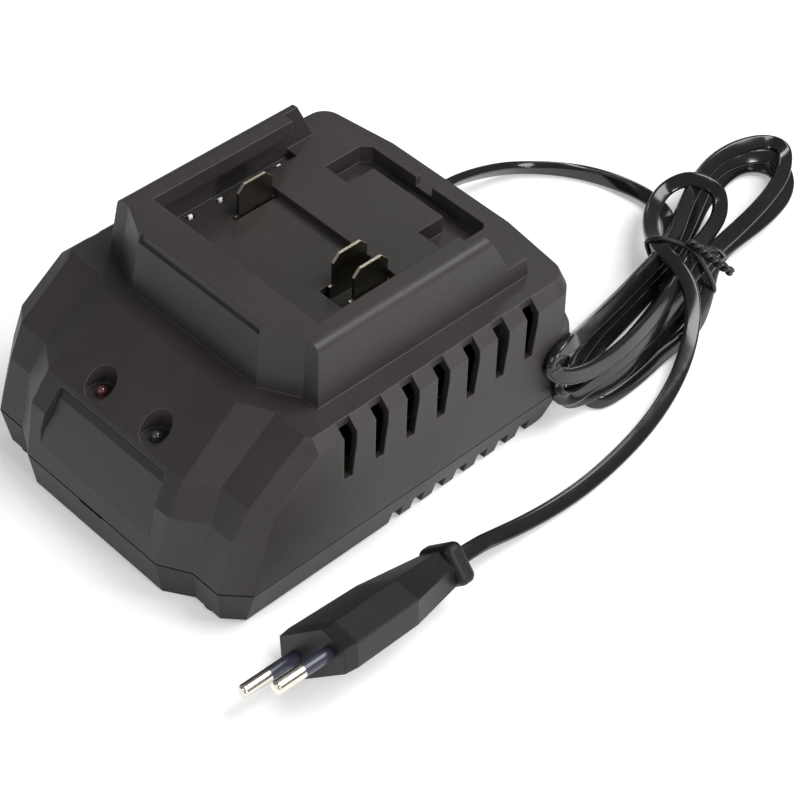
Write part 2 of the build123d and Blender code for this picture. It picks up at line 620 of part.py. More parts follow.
keep("controller_chip", legged(controller, legs, board + 2.7))
coupler = box(-16.0, -11.4, 25.2, 31.6, board + 0.8, board + 4.2)
c_legs = [(-14.97 + 2.54 * i, y) for i in range(2) for y in (24.6, 32.2)]
for x, y in c_legs:
    coupler += box(x - 0.5, x + 0.5, min(y, 25.2 if y < 28 else 31.6), max(y, 25.2 if y < 28 else 31.6),
                   board + 2.2, board + 2.7)
keep("optocoupler", legged(coupler, c_legs, board + 2.7))
y_cap = Pos(25.0, 14.0, board + 5.6) * Rot(0, 90, 0) * Cylinder(4.2, 3.2)
y_cap = fillet(y_cap.edges().filter_by(GeomType.CIRCLE), 0.8)
keep("safety_capacitor", legged(y_cap, [(25.0, 11.5), (25.0, 16.5)], board + 3.4))

# Indicators on their spacers.
for name, sx in (("led_red", -1), ("led_green", 1)):
    x = sx * led_x
    base = led_floor_under_z - 1.1
    lamp = rod(x, led_y, base, base + 1.0, led_flange_r) + rod(x, led_y, base, led_tip_z - led_r, led_r)
    lamp += Pos(x, led_y, led_tip_z - led_r) * Sphere(led_r)
    keep(name, lamp)
spacers = Part()
lamp_leads = Part()
for sx in (-1, 1):
    x = sx * led_x
    post = rod(x, led_y, board, led_floor_under_z - 1.1, 2.8)
    for d in (-1.27, 1.27):
        post -= rod(x + d, led_y, 0, 60, lead_r)
        leads.append((x + d, led_y))
        lamp_leads += rod(x + d, led_y, pcb_z - 0.8, led_floor_under_z - 1.1, lead_r)
    spacers += post
keep("led_spacers", spacers)
keep("led_leads", lamp_leads)

# ---------------------------------------------------------------- battery terminals
carrier = box(carrier_x0, carrier_x1, carrier_y0, carrier_y1, carrier_z, carrier_top)
x0, x1, y0, y1 = near_hole
carrier += box(x0 + hole_clear, x1 - hole_clear, y0 + hole_clear, y1 - hole_clear, carrier_top - 0.2, carrier_boss_z)
terminal_screws = Part()
for x, y in carrier_xy:
    carrier -= rod(x, y, 0, 60, 1.0)
    terminal_screws += rod(x, y, carrier_z, carrier_top + 4.0, 1.0) + rod(x, y, carrier_z - 1.3, carrier_z, 2.0)
names = ("terminal_left", "terminal_middle", "terminal_right")
for name, x in zip(names, blade_x):
    x0, x1 = x - blade_thick / 2, x + blade_thick / 2
    tab_top = pocket_floor_z + 0.2
    blade = prism_x([(blade_front_y, carrier_boss_z), (blade_rear_y, carrier_boss_z),
                     (blade_rear_y, blade_top_z - blade_corner),
                     (blade_rear_y - blade_corner, blade_top_z),
                     (blade_front_y + blade_corner, blade_top_z),
                     (blade_front_y, blade_top_z - blade_corner)], x0, x1)
    blade += box(x0, x1, blade_front_y - blade_tab, min(blade_rear_y + blade_tab, near_hole[3] - 0.1),
                 carrier_boss_z, tab_top)
    blade += box(x0, x1, stem_front_y, stem_rear_y, stem_bottom_z, carrier_boss_z)
    carrier -= box(x0, x1, stem_front_y, stem_rear_y, 40, 60)
    keep(name, blade)
keep("terminal_carrier", carrier)
keep("terminal_screws", terminal_screws)

# Wires from the terminals down to the board.
terminal_wires = Part()
wire_y, wire_turn_z, wire_down_y = 15.2, 41.0, -22.5
for x in blade_x:
    path = FilletPolyline((x, wire_y, stem_bottom_z), (x, wire_y, wire_turn_z), (x, wire_down_y, wire_turn_z),
                          (x, wire_down_y, board), radius=2.6)
    section = Plane(origin=(x, wire_y, stem_bottom_z), z_dir=(0, 0, -1)) * Circle(wire_r)
    terminal_wires += sweep(section, path=path)
keep("terminal_wires", terminal_wires)

mains_leads = Part()
for dx, y_end in ((-1.35, 38.5), (1.35, 34.5)):
    x = cord_exit_x + dx
    path = FilletPolyline((x, cord_inner_y, cord_axis_z), (x, y_end, cord_axis_z), (x, y_end, board), radius=1.8)
    section = Plane(origin=(x, cord_inner_y, cord_axis_z), z_dir=(0, -1, 0)) * Circle(wire_r)
    mains_leads += sweep(section, path=path)
keep("mains_leads", mains_leads)

# The board itself, drilled for every lead.
pcb = box(-pcb_half_x, pcb_half_x, pcb_front_y, pcb_rear_y, pcb_z, board)
pcb = fillet(pcb.edges().filter_by(Axis.Z), 1.5)
for x, y in leads:
    pcb -= rod(x, y, pcb_z - 1, board + 1, lead_r)
pcb_fixings = Part()
for x, y in pcb_screws:
    pcb -= rod(x, y, pcb_z - 1, board + 1, pcb_screw_r)
    head = rod(x, y, board, board + 1.5, 2.2) + rod(x, y, floor_z + 0.4, board, pcb_screw_r)
    head -= box(x - 1.6, x + 1.6, y - 0.3, y + 0.3, board + 0.8, board + 2)
    head -= box(x - 0.3, x + 0.3, y - 1.6, y + 1.6, board + 0.8, board + 2)
    pcb_fixings += head
keep("circuit_board", pcb)
keep("board_screws", pcb_fixings)

# ---------------------------------------------------------------- plug
drop = math.degrees(math.asin((plug_face[2] - plug_collar_z) / plug_length))
# In the plug's own axes Z runs from the face to the collar, and X is the line through the pins.
plug_place = Location(Plane(origin=plug_face, z_dir=(0, math.cos(math.radians(drop)), -math.sin(math.radians(drop))),
                            x_dir=(1, 0, 0)))
plug_place = plug_place * Location((0, 0, 0), (0, 0, -plug_roll))


def hexagon(w, half, flat, thick):
    """Cross-section of the plug at distance w behind its face."""
    pts = [(half, 0, w), (flat, thick, w), (-flat, thick, w), (-half, 0, w), (-flat, -thick, w), (flat, -thick, w)]
    return make_face(Polyline(*pts, close=True))


grip = loft([hexagon(0, 16.2, 11.2, 6.6), hexagon(4, 17.65, 12.0, 6.85), hexagon(27, 16.0, 10.0, 6.85),
             hexagon(46.5, 6.6, 4.2, 5.4)], ruled=True)
collar = Pos(0, 0, 49.4) * Box(15.6, 12.4, 6.2)
collar = fillet(collar.edges(), 2.4)
grip += collar
grip -= Pos(0, 0, 50) * Cylinder(cord_d / 2, 12)
pins = Part()
sleeves = Part()
for s in (-1, 1):
    x = s * pin_spacing / 2
    tip = Pos(x, 0, -pin_long + pin_bare / 2) * Cylinder(pin_r, pin_bare)
    tip = fillet(tip.edges().filter_by(GeomType.CIRCLE).sort_by(Axis.Z)[0], 1.0)
    core_len = pin_long - pin_bare + pin_deep
    tip += Pos(x, 0, -(pin_long - pin_bare) + core_len / 2) * Cylinder(pin_core_r, core_len)
    grip -= Pos(x, 0, pin_deep / 2) * Cylinder(pin_core_r, pin_deep)
    sleeve = Pos(x, 0, -(pin_long - pin_bare) / 2) * Cylinder(pin_r, pin_long - pin_bare)
    sleeve -= Pos(x, 0, 0) * Cylinder(pin_core_r, 60)
    pins += tip
    sleeves += sleeve
keep("plug_body", plug_place * grip)
keep("plug_pins", plug_place * pins)
keep("pin_sleeves", plug_place * sleeves)

# ---------------------------------------------------------------- mains lead
keep("cord_inner", rod_y(cord_exit_x, cord_axis_z, cord_inner_y, gland_end_y, cord_d / 2))


def corner_radii(name, points):
    """Radius of each corner of a route, as large as its two runs allow."""
    vecs = [Vector(*p) for p in points]
    out = []
    for a, b, c in zip(vecs, vecs[1:], vecs[2:]):
        turn = math.radians((b - a).get_angle(c - b))
        out.append(0.45 * min((b - a).length, (c - b).length) / math.tan(turn / 2))
    print(name, "radii", [round(r, 1) for r in out])
    return out


def tube(name, points):
    """Round tube of straight runs and tangent arcs along a route."""
    path = FilletPolyline(*points, radius=corner_radii(name, points))
    start = Vector(*points[0])
    section = Plane(origin=start, z_dir=Vector(*points[1]) - start) * Circle(cord_d / 2)
    solid = sweep(section, path=path)
    print(name, "length", round(path.length, 1), "volume ratio",
          round(solid.volume / (math.pi * cord_d ** 2 / 4 * path.length), 4))
    return solid


lead_route = [(cord_exit_x, gland_end_y, cord_axis_z), (cord_exit_x, 106.5, cord_axis_z), (-33.2, 123.0, 8.4),
              (-26.5, 138.0, 4.9), (-12.5, 149.3, 3.0), (5.0, 154.6, 2.8), (23.0, 153.6, 3.4)]
collar_end = plug_place * Pos(0, 0, 52.5)
tail_start = collar_end.position
axis = Vector(0, math.cos(math.radians(drop)), -math.sin(math.radians(drop)))
first = tail_start + axis * 16.5
tail_route = [tuple(tail_start), tuple(first), (80.6, 33.5, 2.9), (80.4, 56.5, 2.8), (76.6, 79.0, 2.9),
              (69.4, 100.0, 4.6), (58.5, 117.0, 8.4)]

hank_outline = [(28.0, 129.0), (20.0, 133.0), (13.5, 139.5), (8.5, 149.0), (6.5, 160.0), (7.5, 172.0),
                (5.5, 186.0), (6.5, 199.0), (13.0, 206.0), (25.0, 205.5), (36.5, 197.0), (45.5, 183.0),
                (48.5, 167.0), (48.5, 150.0), (51.0, 138.0), (56.0, 124.0), (62.5, 107.0), (67.5, 91.0),
                (70.5, 76.0), (70.0, 62.0), (66.5, 53.0), (61.0, 50.5), (56.8, 56.0), (57.0, 66.0),
                (53.0, 74.0), (46.0, 84.0), (38.0, 104.0), (32.0, 120.0)]
hank_tops = [(40.0, 25.0), (66.0, 24.0), (84.0, 20.0), (112.0, 15.5), (150.0, 14.0), (215.0, 14.0)]
hank = prism_z(hank_outline, 0, 30)
hank &= prism_x([(hank_tops[0][0], -1.0)] + hank_tops + [(hank_tops[-1][0], -1.0)], 0, 80)
tie_turn = Location((hank_waist[0], hank_waist[1], 0), (0, 0, 26))
hank -= tie_turn * box(-30, 30, -tie_width / 2 - 0.3, tie_width / 2 + 0.3, -1, tie_thick + 0.1)
band_top = hank_height + 1.0 + tie_thick
tie = tie_turn * (box(-13.4, 13.4, -tie_width / 2, tie_width / 2, 0, band_top))
tie -= hank
tie += tie_turn * Pos(16.0, -1.0, hank_height - 1.0) * Rot(0, 62, -25) * Cylinder(1.5, 9)
tie += tie_turn * Pos(3.0, 0, band_top - 0.1) * Rot(0, 78, 20) * Cylinder(1.3, 10)
tie -= hank
keep("cord_lead", tube("cord_lead", lead_route) - hank)
keep("cord_hank", hank)
keep("cord_tail", tube("cord_tail", tail_route) - hank)
keep("twist_tie", tie)

# ---------------------------------------------------------------- export
os.makedirs("parts", exist_ok=True)
for name, shape in PARTS.items():
    solids = shape.solids()
    print(f"{name:24s} solids {len(solids)} volume {sum(s.volume for s in solids):.1f} valid {shape.is_valid}")
    export_step(Compound(children=list(solids)) if len(solids) > 1 else solids[0], f"parts/{name}.step")
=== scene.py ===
"""Dress a power tool battery charger: housings, terminals, lamps, and the mains lead with hank and plug."""
from __future__ import annotations

import logging
import math
from dataclasses import dataclass, field
from enum import Enum
from typing import Callable, Sequence

import bpy
import bmesh
from mathutils import Matrix, Vector

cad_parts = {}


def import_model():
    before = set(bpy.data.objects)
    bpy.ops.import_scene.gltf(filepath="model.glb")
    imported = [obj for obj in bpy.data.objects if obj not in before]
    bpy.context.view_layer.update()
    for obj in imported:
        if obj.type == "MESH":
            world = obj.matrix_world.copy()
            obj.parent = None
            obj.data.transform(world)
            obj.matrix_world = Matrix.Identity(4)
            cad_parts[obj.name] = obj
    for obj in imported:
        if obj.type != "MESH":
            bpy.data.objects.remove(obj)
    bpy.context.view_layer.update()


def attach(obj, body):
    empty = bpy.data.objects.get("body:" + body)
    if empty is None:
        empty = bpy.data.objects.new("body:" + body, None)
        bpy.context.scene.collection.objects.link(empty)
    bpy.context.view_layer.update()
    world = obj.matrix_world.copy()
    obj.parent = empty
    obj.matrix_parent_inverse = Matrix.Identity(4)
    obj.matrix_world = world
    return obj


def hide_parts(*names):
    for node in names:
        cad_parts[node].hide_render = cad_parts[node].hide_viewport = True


log = logging.getLogger("charger")
MM = 0.001
WHITE = (1.0, 1.0, 1.0, 1.0)
RUBBED_TONE = (0.09, 0.088, 0.088, 1.0)
EDGE_LIFT = 1.1
Point = tuple[float, float, float]
Colour = tuple[float, float, float]


class Metal(Enum):
    """The metals of the charger."""

    NICKEL = "nickel"
    BRASS = "brass"
    ZINC = "zinc"
    ANODISED = "anodised"
    COPPER = "copper"


# ------------------------------------------------------------------ finishes
@dataclass(frozen=True)
class MouldedFinish:
    """A moulded plastic surface: tone, gloss and the texture of the mould."""

    name: str
    colour: Colour
    rough: float = 0.46
    grain_scale: float = 1900.0
    grain_depth: float = 0.00006
    mottle: float = 0.10
    scuff: float = 0.12
    edge_radius: float = 0.0004
    specular: float = 0.5
    # How much edges are lightened: partly wear, partly painted highlight.
    edge_wear_and_highlight: float = 0.0


@dataclass(frozen=True)
class MetalFinish:
    """A bare or plated metal: tone, gloss, the direction of its fine marks, and painted shade on faces that
    don't face up.
    """

    name: str
    colour: Colour
    rough: float = 0.25
    streak: tuple[float, float, float] = (200.0, 200.0, 3000.0)
    tarnish: float = 0.15
    # Colour factor for faces that don't face up: painted shade, 1.0 for none.
    painted_side_shade: float = 1.0


@dataclass(frozen=True)
class LensFinish:
    """A clear or tinted lamp lens."""

    name: str
    colour: Colour
    rough: float = 0.12
    coat: float = 0.3


SHELL = MouldedFinish("shell_plastic", (0.0290, 0.0252, 0.0240), rough=0.47, specular=0.38,
                       edge_radius=0.0005, edge_wear_and_highlight=0.8)
BASE = MouldedFinish("base_plastic", (0.0150, 0.0136, 0.0134), rough=0.50, specular=0.30, edge_wear_and_highlight=0.5)
LABEL = MouldedFinish("label_blank", (0.0180, 0.0182, 0.0215), rough=0.34, grain_scale=700.0,
                      grain_depth=0.00001, mottle=0.05, scuff=0.05, edge_radius=0.0001)
# Darker sheet along the label's head: painted shade of the recess's upper wall.
LABEL_PAINTED_SHADE = MouldedFinish("label_band", (0.0105, 0.0100, 0.0108), rough=0.48, grain_scale=700.0,
                           grain_depth=0.00001, mottle=0.05, scuff=0.05, edge_radius=0.0001, specular=0.30)
VINYL = MouldedFinish("lead_vinyl", (0.0070, 0.0070, 0.0085), rough=0.16, grain_scale=95.0,
                      grain_depth=0.00012, mottle=0.12, scuff=0.06, edge_radius=0.0002, specular=0.60)
PLUG = MouldedFinish("plug_vinyl", (0.0100, 0.0094, 0.0095), rough=0.46, grain_scale=1500.0,
                     grain_depth=0.00004, specular=0.28, edge_radius=0.0008)
SLEEVE = MouldedFinish("sleeve_plastic", (0.036, 0.038, 0.060), rough=0.26, grain_depth=0.00001)
RUBBER = MouldedFinish("foot_rubber", (0.0150, 0.0150, 0.0150), rough=0.75, grain_scale=2600.0)
EPOXY = MouldedFinish("epoxy_black", (0.0160, 0.0160, 0.0165), rough=0.42)
CARRIER = MouldedFinish("carrier_plastic", (0.0120, 0.0118, 0.0116), rough=0.55)
FERRITE = MouldedFinish("ferrite_grey", (0.055, 0.055, 0.060), rough=0.60, grain_scale=1200.0)
BOBBIN = MouldedFinish("bobbin_nylon", (0.020, 0.020, 0.020), rough=0.40)
CAN = MouldedFinish("can_sleeve", (0.020, 0.028, 0.085), rough=0.28, grain_depth=0.00001)
YELLOW = MouldedFinish("film_case", (0.62, 0.44, 0.05), rough=0.35)
DISC = MouldedFinish("ceramic_dip", (0.06, 0.17, 0.42), rough=0.35, grain_depth=0.00004)
RED_WIRE = MouldedFinish("wire_red", (0.40, 0.02, 0.015), rough=0.35)
BROWN_WIRE = MouldedFinish("wire_brown", (0.14, 0.06, 0.03), rough=0.35)
NYLON = MouldedFinish("white_nylon", (0.66, 0.66, 0.64), rough=0.45)
TIE = MouldedFinish("tie_coating", (0.0110, 0.0110, 0.0120), rough=0.36, grain_scale=900.0,
                    grain_depth=0.00003)

METALS: dict[Metal, MetalFinish] = {
    Metal.NICKEL: MetalFinish("nickel_plate", (0.76, 0.72, 0.64), rough=0.16, streak=(300.0, 60.0, 300.0),
                              tarnish=0.10),
    # The blades' faces that don't face up carry painted shade for their dark reflections.
    Metal.BRASS: MetalFinish("terminal_metal", (0.60, 0.54, 0.43), rough=0.36,
                             streak=(2500.0, 150.0, 400.0), tarnish=0.25, painted_side_shade=0.20),
    Metal.ZINC: MetalFinish("zinc_plate", (0.55, 0.55, 0.57), rough=0.32),
    Metal.ANODISED: MetalFinish("dark_anodised", (0.030, 0.030, 0.032), rough=0.42, tarnish=0.10),
    Metal.COPPER: MetalFinish("enamelled_copper", (0.42, 0.17, 0.06), rough=0.30,
                              streak=(120.0, 120.0, 2100.0), tarnish=0.25),
}
RED_LENS = LensFinish("lens_red", (0.080, 0.024, 0.026))
CLEAR_LENS = LensFinish("lens_clear_green", (0.030, 0.033, 0.029))


# ------------------------------------------------------------------ routes
# Route of the lead: x, y, z in millimetres, and the turn of its broad face in degrees (runs on past 360).
LEAD_ROUTE: list[tuple[float, float, float, float]] = [
    (-34.5, 92.0, 12.9, 125), (-34.4, 101.0, 12.7, 123), (-35.0, 109.6, 10.5, 120),
    (-35.1, 118.2, 7.9, 118), (-34.3, 126.7, 5.3, 115), (-32.2, 134.7, 2.8, 114), (-26.1, 141.2, 2.7, 108),
    (-19.1, 146.8, 2.6, 94), (-11.0, 150.8, 2.7, 76), (-2.5, 153.4, 2.8, 59), (6.4, 154.7, 2.7, 43),
    (15.0, 153.1, 1.8, 13), (20.9, 148.0, 1.9, -20), (25.9, 140.6, 2.4, -37), (31.2, 133.4, 2.4, -35),
    (37.8, 127.4, 2.4, -34), (42.4, 119.7, 2.7, -54), (45.0, 111.2, 2.7, -59), (47.1, 102.5, 2.7, -61),
    (49.0, 93.7, 2.7, -62), (50.7, 84.9, 2.7, -64), (51.8, 76.1, 2.7, -65), (55.0, 72.2, 2.6, -78),
    (58.5, 73.3, 2.5, -98), (60.0, 76.8, 2.6, -107), (60.1, 85.8, 2.7, -113), (59.2, 94.7, 2.7, -117),
    (57.9, 103.5, 2.8, -114), (57.8, 112.5, 2.7, -114), (55.9, 121.2, 2.7, -126), (51.7, 129.1, 2.6, -135),
    (46.9, 136.7, 2.5, -140), (41.9, 144.2, 2.5, -138), (39.2, 152.7, 2.7, -128), (38.5, 161.6, 2.7, -129),
    (37.8, 170.5, 2.6, -136), (36.0, 179.3, 2.4, -144), (33.0, 187.7, 2.1, -157), (27.5, 194.6, 2.0, -192),
    (22.8, 195.8, 2.5, -219), (18.1, 193.5, 2.6, -228), (15.1, 188.6, 2.6, -227), (15.1, 180.8, 2.5, -219),
    (17.3, 172.1, 2.5, -217), (20.1, 163.6, 2.4, -215), (24.0, 155.5, 2.4, -216), (27.7, 147.3, 2.6, -224),
    (31.2, 139.1, 3.1, -226), (35.0, 131.2, 4.7, -234), (37.0, 122.6, 4.4, -244), (38.4, 113.9, 3.0, -242),
    (40.6, 105.3, 3.9, -240), (43.1, 96.8, 5.5, -240), (45.6, 88.4, 7.5, -239), (48.6, 80.4, 10.0, -237),
    (51.8, 72.3, 12.5, -236), (55.3, 64.3, 14.2, -248), (56.0, 61.7, 11.9, -221), (56.0, 62.8, 8.2, -254),
    (56.5, 66.0, 6.4, -280), (58.2, 73.1, 7.0, -288), (58.2, 82.1, 7.0, -295), (56.8, 90.9, 6.2, -299),
    (54.7, 99.4, 4.4, -300), (52.8, 108.0, 2.8, -298), (51.3, 116.8, 2.7, -300), (48.4, 125.3, 2.7, -308),
    (45.0, 133.3, 4.7, -310), (42.3, 141.7, 6.1, -308), (40.9, 150.5, 5.7, -307), (40.3, 159.5, 5.4, -309),
    (39.8, 168.4, 5.2, -314), (38.5, 177.3, 4.9, -321), (36.1, 185.9, 4.5, -333), (31.3, 193.3, 4.8, -359),
    (23.9, 196.6, 6.1, -396), (19.7, 195.1, 6.4, -407), (15.4, 189.0, 6.3, -409), (13.6, 180.3, 6.3, -405),
    (15.3, 171.6, 6.1, -394), (19.1, 163.5, 6.0, -392), (23.1, 155.5, 6.1, -395), (27.2, 147.5, 6.3, -400),
    (30.8, 139.3, 6.9, -408), (33.5, 130.9, 8.2, -417), (35.5, 122.2, 8.8, -423), (36.9, 113.4, 7.7, -422),
    (39.2, 104.8, 8.8, -420), (41.6, 96.3, 10.4, -419), (44.4, 88.0, 12.4, -417), (47.7, 80.1, 14.8, -415),
    (51.2, 72.2, 17.4, -414), (55.0, 64.7, 20.4, -420), (56.1, 60.4, 20.5, -443), (56.6, 57.5, 17.7, -451),
    (58.0, 57.5, 14.1, -451), (58.6, 62.4, 11.8, -468), (58.1, 69.7, 11.4, -471), (58.0, 78.7, 11.8, -474),
    (56.9, 87.5, 11.0, -477), (55.0, 96.2, 9.6, -480), (52.5, 104.6, 7.8, -483), (49.7, 113.1, 6.9, -484),
    (46.8, 121.5, 6.7, -485), (44.4, 130.0, 8.2, -485), (42.7, 138.6, 9.8, -486), (41.3, 147.5, 9.7, -488),
    (40.0, 156.3, 9.5, -492), (38.5, 165.2, 9.3, -497), (36.5, 173.9, 8.8, -502), (34.0, 182.5, 8.1, -508),
    (30.8, 190.8, 7.9, -517), (25.7, 198.0, 9.2, -547), (21.9, 199.9, 9.1, -570), (18.1, 199.1, 8.9, -584),
    (15.4, 193.0, 10.4, -586), (13.1, 184.4, 10.4, -586), (13.2, 175.5, 10.1, -581),
    (15.6, 166.8, 9.9, -576), (18.9, 158.5, 9.6, -575), (23.0, 150.5, 10.0, -573),
    (27.6, 142.9, 10.5, -577), (31.6, 135.0, 11.7, -586), (34.5, 126.6, 12.6, -597),
    (36.2, 117.8, 12.5, -603), (38.0, 109.0, 12.5, -600), (40.6, 100.7, 14.4, -599),
    (43.3, 92.5, 16.9, -598), (46.2, 84.6, 19.8, -597), (49.3, 76.9, 23.3, -596), (52.6, 69.5, 27.2, -594),
    (55.8, 62.3, 31.3, -604), (56.2, 57.2, 31.7, -630), (56.2, 54.1, 29.4, -646), (56.4, 54.5, 25.5, -635),
    (58.5, 58.1, 22.3, -643), (58.9, 66.4, 19.1, -654), (58.2, 75.0, 16.9, -654), (57.2, 83.9, 16.0, -657),
    (55.3, 92.6, 14.8, -660), (52.8, 101.0, 13.1, -663), (49.9, 109.4, 11.7, -664),
    (47.0, 117.8, 11.1, -666), (43.8, 126.2, 11.8, -670), (41.0, 134.4, 13.4, -677),
    (37.9, 142.6, 11.8, -681), (34.8, 150.8, 9.8, -685), (31.4, 159.0, 9.2, -696),
    (26.2, 164.8, 10.3, -732), (22.3, 165.7, 11.3, -754), (17.0, 162.5, 13.0, -766),
    (13.6, 158.6, 12.1, -766), (11.9, 153.1, 9.9, -756), (14.8, 144.8, 8.5, -734),
    (20.4, 138.0, 9.0, -721), (26.9, 132.2, 11.1, -715), (33.4, 127.3, 14.9, -706),
    (41.6, 125.4, 15.3, -690), (49.5, 124.0, 11.9, -703), (55.8, 119.1, 7.9, -725),
    (60.8, 112.3, 5.2, -736), (65.3, 104.6, 3.8, -741), (69.0, 96.5, 2.9, -746), (72.1, 88.1, 2.4, -749),
    (74.7, 79.6, 2.3, -751), (76.8, 70.8, 2.4, -754), (78.3, 62.0, 2.4, -756), (79.4, 53.1, 2.5, -757),
    (80.0, 44.2, 2.6, -759), (80.1, 35.2, 3.0, -761), (79.9, 26.3, 3.8, -761), (79.6, 17.4, 5.3, -761),
    (79.4, 8.7, 7.4, -760), (80.5, 0.7, 11.0, -755), (81.0, -8.1, 12.2, -760)]

# The tie's band round the hank's waist, the line of its twisted ends, and its free tip, in millimetres.
TIE_BAND: list[Point] = [
    (38.3, 132.5, 0.8), (42.0, 134.0, 0.8), (45.7, 135.4, 0.8), (49.6, 137.0, 1.0), (49.2, 136.8, 4.0),
    (46.9, 135.9, 8.2), (44.9, 135.1, 11.5), (42.6, 134.2, 14.8), (38.7, 132.7, 16.3), (34.9, 131.2, 16.4),
    (30.6, 129.5, 16.0), (27.0, 128.1, 13.8), (28.2, 128.6, 9.8), (29.8, 129.2, 6.1), (31.2, 129.8, 2.4),
    (33.4, 130.6, 0.8), (38.3, 132.5, 0.8)]
TIE_TWIST: list[Point] = [(39.4, 133.6, 17.6), (42.2, 134.0, 17.6), (46.0, 134.8, 16.2), (50.0, 136.0, 14.4),
                          (54.4, 137.6, 12.6)]
TIE_TIP: list[Point] = [(43.0, 134.2, 17.2), (44.8, 136.6, 16.6), (45.4, 139.2, 15.6), (47.4, 140.6, 14.6),
                        (49.4, 140.0, 13.8)]


# ------------------------------------------------------------------ node helpers
def group_socket(tree: bpy.types.NodeTree, name: str, way: str, kind: str, default: object = None) -> None:
    """Add one named socket to a node group.

    Args:
        tree: The group.
        name: Name of the socket.
        way: "INPUT" or "OUTPUT".
        kind: Socket type, such as "NodeSocketFloat".
        default: Its value where nothing is linked.
    """
    socket = tree.interface.new_socket(name=name, in_out=way, socket_type=kind)
    if default is not None:
        socket.default_value = default


class NodeSheet:
    """A thin wrapper that adds and links nodes of one tree."""

    def __init__(self, tree: bpy.types.NodeTree) -> None:
        """Keep the tree that nodes are added to.

        Args:
            tree: The node tree.
        """
        self.tree = tree

    def add(self, kind: str, settings: dict[str, object] | None = None, **values: object) -> bpy.types.Node:
        """Add a node.

        Args:
            kind: The node's bl_idname.
            settings: Attributes such as operation or blend_type.
            **values: Input values or sockets, by input name with spaces as underscores, or by index as
                i0, i1.

        Returns:
            The new node.
        """
        node = self.tree.nodes.new(kind)
        for key, value in (settings or {}).items():
            setattr(node, key, value)
        for key, value in values.items():
            if key[0] == "i" and key[1:].isdigit():
                socket = node.inputs[int(key[1:])]
            else:
                socket = node.inputs[key.replace("_", " ")]
            if isinstance(value, bpy.types.NodeSocket):
                self.tree.links.new(value, socket)
            else:
                socket.default_value = value
        return node

    def math(self, operation: str, *values: object, clamp: bool = False) -> bpy.types.NodeSocket:
        """Add a math node.

        Args:
            operation: What it does.
            *values: Its numbers or sockets, in order.
            clamp: Whether the result stays between 0 and 1.

        Returns:
            Its result.
        """
        inputs = {f"i{i}": value for i, value in enumerate(values)}
        return self.add("ShaderNodeMath", {"operation": operation, "use_clamp": clamp}, **inputs).outputs[0]

    def scale(self, vector: object, by: object) -> bpy.types.NodeSocket:
        """Add a node that multiplies a colour or vector by one number.

        Args:
            vector: The colour or vector.
            by: The number.

        Returns:
            The product.
        """
        return self.add("ShaderNodeVectorMath", {"operation": "SCALE"}, i0=vector, Scale=by).outputs[0]

    def spread(self, value: object, low: float, high: float, to_low: float = 0.0,
               to_high: float = 1.0) -> bpy.types.NodeSocket:
        """Add a node that stretches one range to another and stops at its ends.

        Args:
            value: The number that is stretched.
            low: Value that becomes to_low.
            high: Value that becomes to_high.
            to_low: Result at low.
            to_high: Result at high.

        Returns:
            The stretched number.
        """
        return self.add("ShaderNodeMapRange", {"clamp": True}, Value=value, From_Min=low, From_Max=high,
                        To_Min=to_low, To_Max=to_high).outputs[0]

    def noise(self, place: object, scale: object, detail: float, rough: float,
              twist: float = 0.0) -> bpy.types.NodeSocket:
        """Add a noise texture.

        Args:
            place: Its coordinates.
            scale: Its scale.
            detail: Number of finer layers.
            rough: Strength of the finer layers.
            twist: Distortion of its coordinates.

        Returns:
            The noise, from 0 to 1.
        """
        return self.add("ShaderNodeTexNoise", Vector=place, Scale=scale, Detail=detail, Roughness=rough,
                        Distortion=twist).outputs["Fac"]

    def link(self, out: bpy.types.NodeSocket, into: bpy.types.NodeSocket) -> None:
        """Link two sockets.

        Args:
            out: The socket that gives the value.
            into: The socket that takes it.
        """
        self.tree.links.new(out, into)


def texture_group(name: str,
                  *inputs: tuple[str, str, object]) -> tuple[NodeSheet, bpy.types.Node, bpy.types.Node]:
    """Start a shader node group that takes Colour and Roughness, and gives them and Height back.

    Args:
        name: Name of the group.
        *inputs: Name, socket type and default of each further input.

    Returns:
        Its node sheet, its input node and its output node.
    """
    tree = bpy.data.node_groups.new(name, "ShaderNodeTree")
    group_socket(tree, "Colour", "INPUT", "NodeSocketColor", (0.03, 0.03, 0.03, 1.0))
    group_socket(tree, "Roughness", "INPUT", "NodeSocketFloat", 0.45)
    for label, kind, default in inputs:
        group_socket(tree, label, "INPUT", kind, default)
    group_socket(tree, "Colour", "OUTPUT", "NodeSocketColor")
    group_socket(tree, "Roughness", "OUTPUT", "NodeSocketFloat")
    group_socket(tree, "Height", "OUTPUT", "NodeSocketFloat")
    sheet = NodeSheet(tree)
    return sheet, sheet.add("NodeGroupInput"), sheet.add("NodeGroupOutput")


